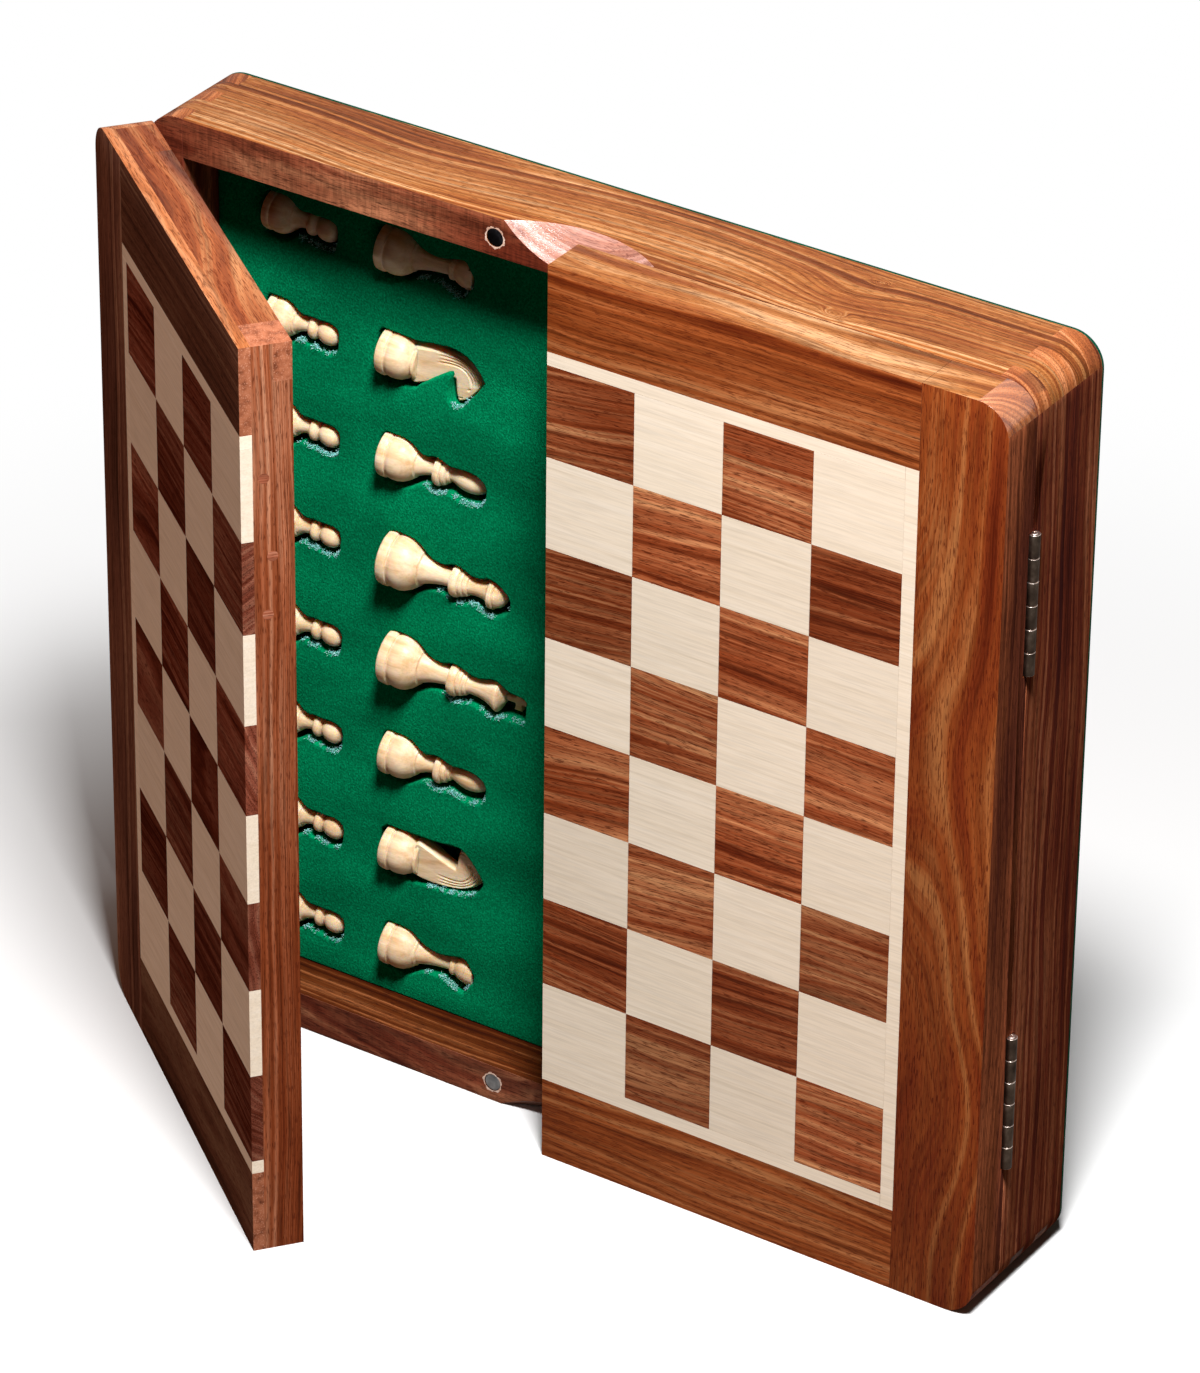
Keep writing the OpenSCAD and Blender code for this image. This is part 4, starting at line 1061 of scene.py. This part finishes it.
def fibre_group():
    """Short fibres of the velvet's backing along a line, standing up from the cut edge."""
    group, given = new_group("cut_fibres", (
        ("Line", "Geometry"), ("Finish", "Material"), ("Spacing", "Float"), ("Length", "Float"),
        ("Width", "Float"), ("Seed", "Int"), ("Clean share", "Float")))
    curve = get("GeometryNodeMeshToCurve", {"Mesh": given["Line"]})
    roots = get("GeometryNodeCurveToPoints", {"Curve": curve, "Length": given["Spacing"]},
                mode="LENGTH")

    def chance(kind, low, high, shift):
        made = add("FunctionNodeRandomValue", {"Seed": get("ADD", given["Seed"], shift)},
                   data_type=kind)
        first = 0 if kind == "FLOAT_VECTOR" else 2       # where the sockets of this kind begin
        for slot, value in enumerate((low, high)):
            made.inputs[first + slot].default_value = value
        return made.outputs[first // 2]

    # The edge frays in tufts 1.6 mm apart, with clean velvet between them
    tufts = get("TexNoise", {"Vector": get("GeometryNodeInputPosition"), "Scale": 1 / 0.0016,
                             "Detail": 2.0})
    clean = get("FunctionNodeCompare", {0: tufts, 1: given["Clean share"]}, operation="LESS_THAN")
    roots = get("GeometryNodeDeleteGeometry", {"Geometry": roots, "Selection": clean})
    roots = get("GeometryNodeSetPosition", {"Geometry": roots, "Offset": chance(
        "FLOAT_VECTOR", (-0.0003, -0.0003, -0.00025), (0.0003, 0.0016, 0.0007), 3)})
    fibre = get("GeometryNodeMeshCone", {"Vertices": 3, "Radius Top": 0.0, "Depth": given["Length"],
                                         "Radius Bottom": given["Width"]})
    tuft = get("GeometryNodeInstanceOnPoints", {
        "Points": roots, "Instance": fibre, "Scale": chance("FLOAT", 0.35, 1.0, 11),
        "Rotation": chance("FLOAT_VECTOR", (0.3, -1.3, -3.1), (2.0, 1.3, 3.1), 7)})
    close_group(get("GeometryNodeRealizeInstances", tuft), given["Finish"])
    return group


fibres = fibre_group()
# Fibres go only on the lower lips, which face the lamp, so the pale fringe is partly painted light on
# the lit side of each cut-out
spots = []
for i, name in enumerate(MEN_ROWS):
    for kind in (name.split("_")[0], "pawn"):
        path = nest_path(kind, i < 4)
        far = max(z for z, w in path)
        chosen = [k for k, (z, w) in enumerate(path) if w < 0 and z > 0.4 * far]
        if kind == "knight" and i >= 4:        # a high muzzle frays only under its tip
            chosen = [k for k in chosen if path[k][0] > 20.5 and path[k][1] < -3]
        for flip in (False, True):
            line = nest_outline(kind, i, flip)
            spots += [Vector((line[k][0], VELVET_Y + 0.15, line[k][1])) * MM
                      for a, b in zip(chosen, chosen[1:]) if b == a + 1 for k in (a, b)]
lips = bpy.data.meshes.new("lips")
lips.from_pydata(spots, [(k, k + 1) for k in range(0, len(spots), 2)], [])
fringe = from_tree(linked("lips", lips), fibres, {
    "Finish": lit_lip_fibres, "Spacing": 0.000027, "Length": 0.00085, "Width": 0.00012, "Seed": 4,
    "Clean share": 0.46})
piece("nest_cut_fibres", fringe, "case", lit_lip_fibres, smooth=180)

# ---------- felt ----------

felt_shape = eased(cad_copy("base_felt"), lambda e: True, 0.3)
base = piece("base_felt_sheet", felt_shape, "case", felt, ["base_felt"])

# ---------- floor, light and camera ----------

floor_mesh = bpy.data.meshes.new("floor")
FAR = 4.0
floor_mesh.from_pydata([(-FAR, -FAR, 0), (FAR, -FAR, 0), (FAR, FAR, 0), (-FAR, FAR, 0)], [],
                       [(0, 1, 2, 3)])
# Pale paper that takes the object's shadow near it and is plain white further off; the
# light it throws back on the object is that of a darker paper
paper, paper_body = material("studio_floor_paper", rough=0.9, gloss=0.0)
away = add("VectorMath", {0: add("TexCoord").outputs["Object"]}, operation="LENGTH").outputs["Value"]
fade = get("MapRange", {"Value": away, "From Min": 0.12, "From Max": 0.42},
           interpolation_type="SMOOTHSTEP")
looked_at = add("LightPath").outputs["Is Camera Ray"]
dress(paper_body, add("Mix", {0: looked_at, 6: srgb("#7c7672"), 7: srgb("#dcdcdc")},
                      data_type="RGBA").outputs[2])
glow = get("Emission", {"Color": srgb("#ffffff"), "Strength": 1.0})
both = get("MixShader", {0: get("MULTIPLY", fade, looked_at), 1: paper_body.outputs[0], 2: glow})
paper_out = next(n for n in tree.nodes if n.type == "OUTPUT_MATERIAL")
tree.links.new(both, paper_out.inputs["Surface"])
floor_mesh.materials.append(paper)
floor = linked("floor", floor_mesh)

AIM = Vector((0.0, -0.02, 0.17))


def area_light(name, way, distance, size, power, tint="#ffffff"):
    """A square lamp that shines at the object from the given way and distance."""
    data = bpy.data.lights.new(name, "AREA")
    data.shape, data.size, data.energy, data.color = "SQUARE", size, power, srgb(tint)[:3]
    way = Vector(way).normalized()
    linked(name, data).matrix_world = Matrix.Translation(AIM + way * distance) @ \
        way.to_track_quat("Z", "Y").to_matrix().to_4x4()


area_light("key", (0.30, -0.355, 0.887), 0.95, 0.18, 21.6)
area_light("warm_fill", (-0.80, -0.55, 0.25), 1.3, 0.6, 2.3, "#ffab78")

scene.world = bpy.data.worlds.new("studio")
scene.world.use_nodes = True
tree = scene.world.node_tree
tree.nodes.clear()
rays = add("LightPath").outputs
seen = get("MAXIMUM", rays["Is Camera Ray"],
           get("MAXIMUM", rays["Is Glossy Ray"], rays["Is Transmission Ray"]))
soft = get("Background", {"Color": srgb("#ffdcc0"), "Strength": 0.03})
white = get("Background", {"Color": srgb("#ffffff"), "Strength": 1.0})
add("OutputWorld", {"Surface": get("MixShader", {0: seen, 1: soft, 2: white})})

scene.view_settings.view_transform = "Standard"

lens = bpy.data.cameras.new("camera")
lens.sensor_width, lens.lens = 36.0, 193.06
lens.clip_start, lens.clip_end = 0.05, 20.0
camera = linked("camera", lens)
right, down, ahead = ((0.83358, 0.55232, 0.00978), (0.28867, -0.42044, -0.86017),
                      (-0.47097, 0.71984, -0.50991))
turn = Matrix((right, -Vector(down), -Vector(ahead))).transposed().to_4x4()
camera.matrix_world = Matrix.Translation((0.85695, -1.31289, 1.0535)) @ turn
scene.camera = camera
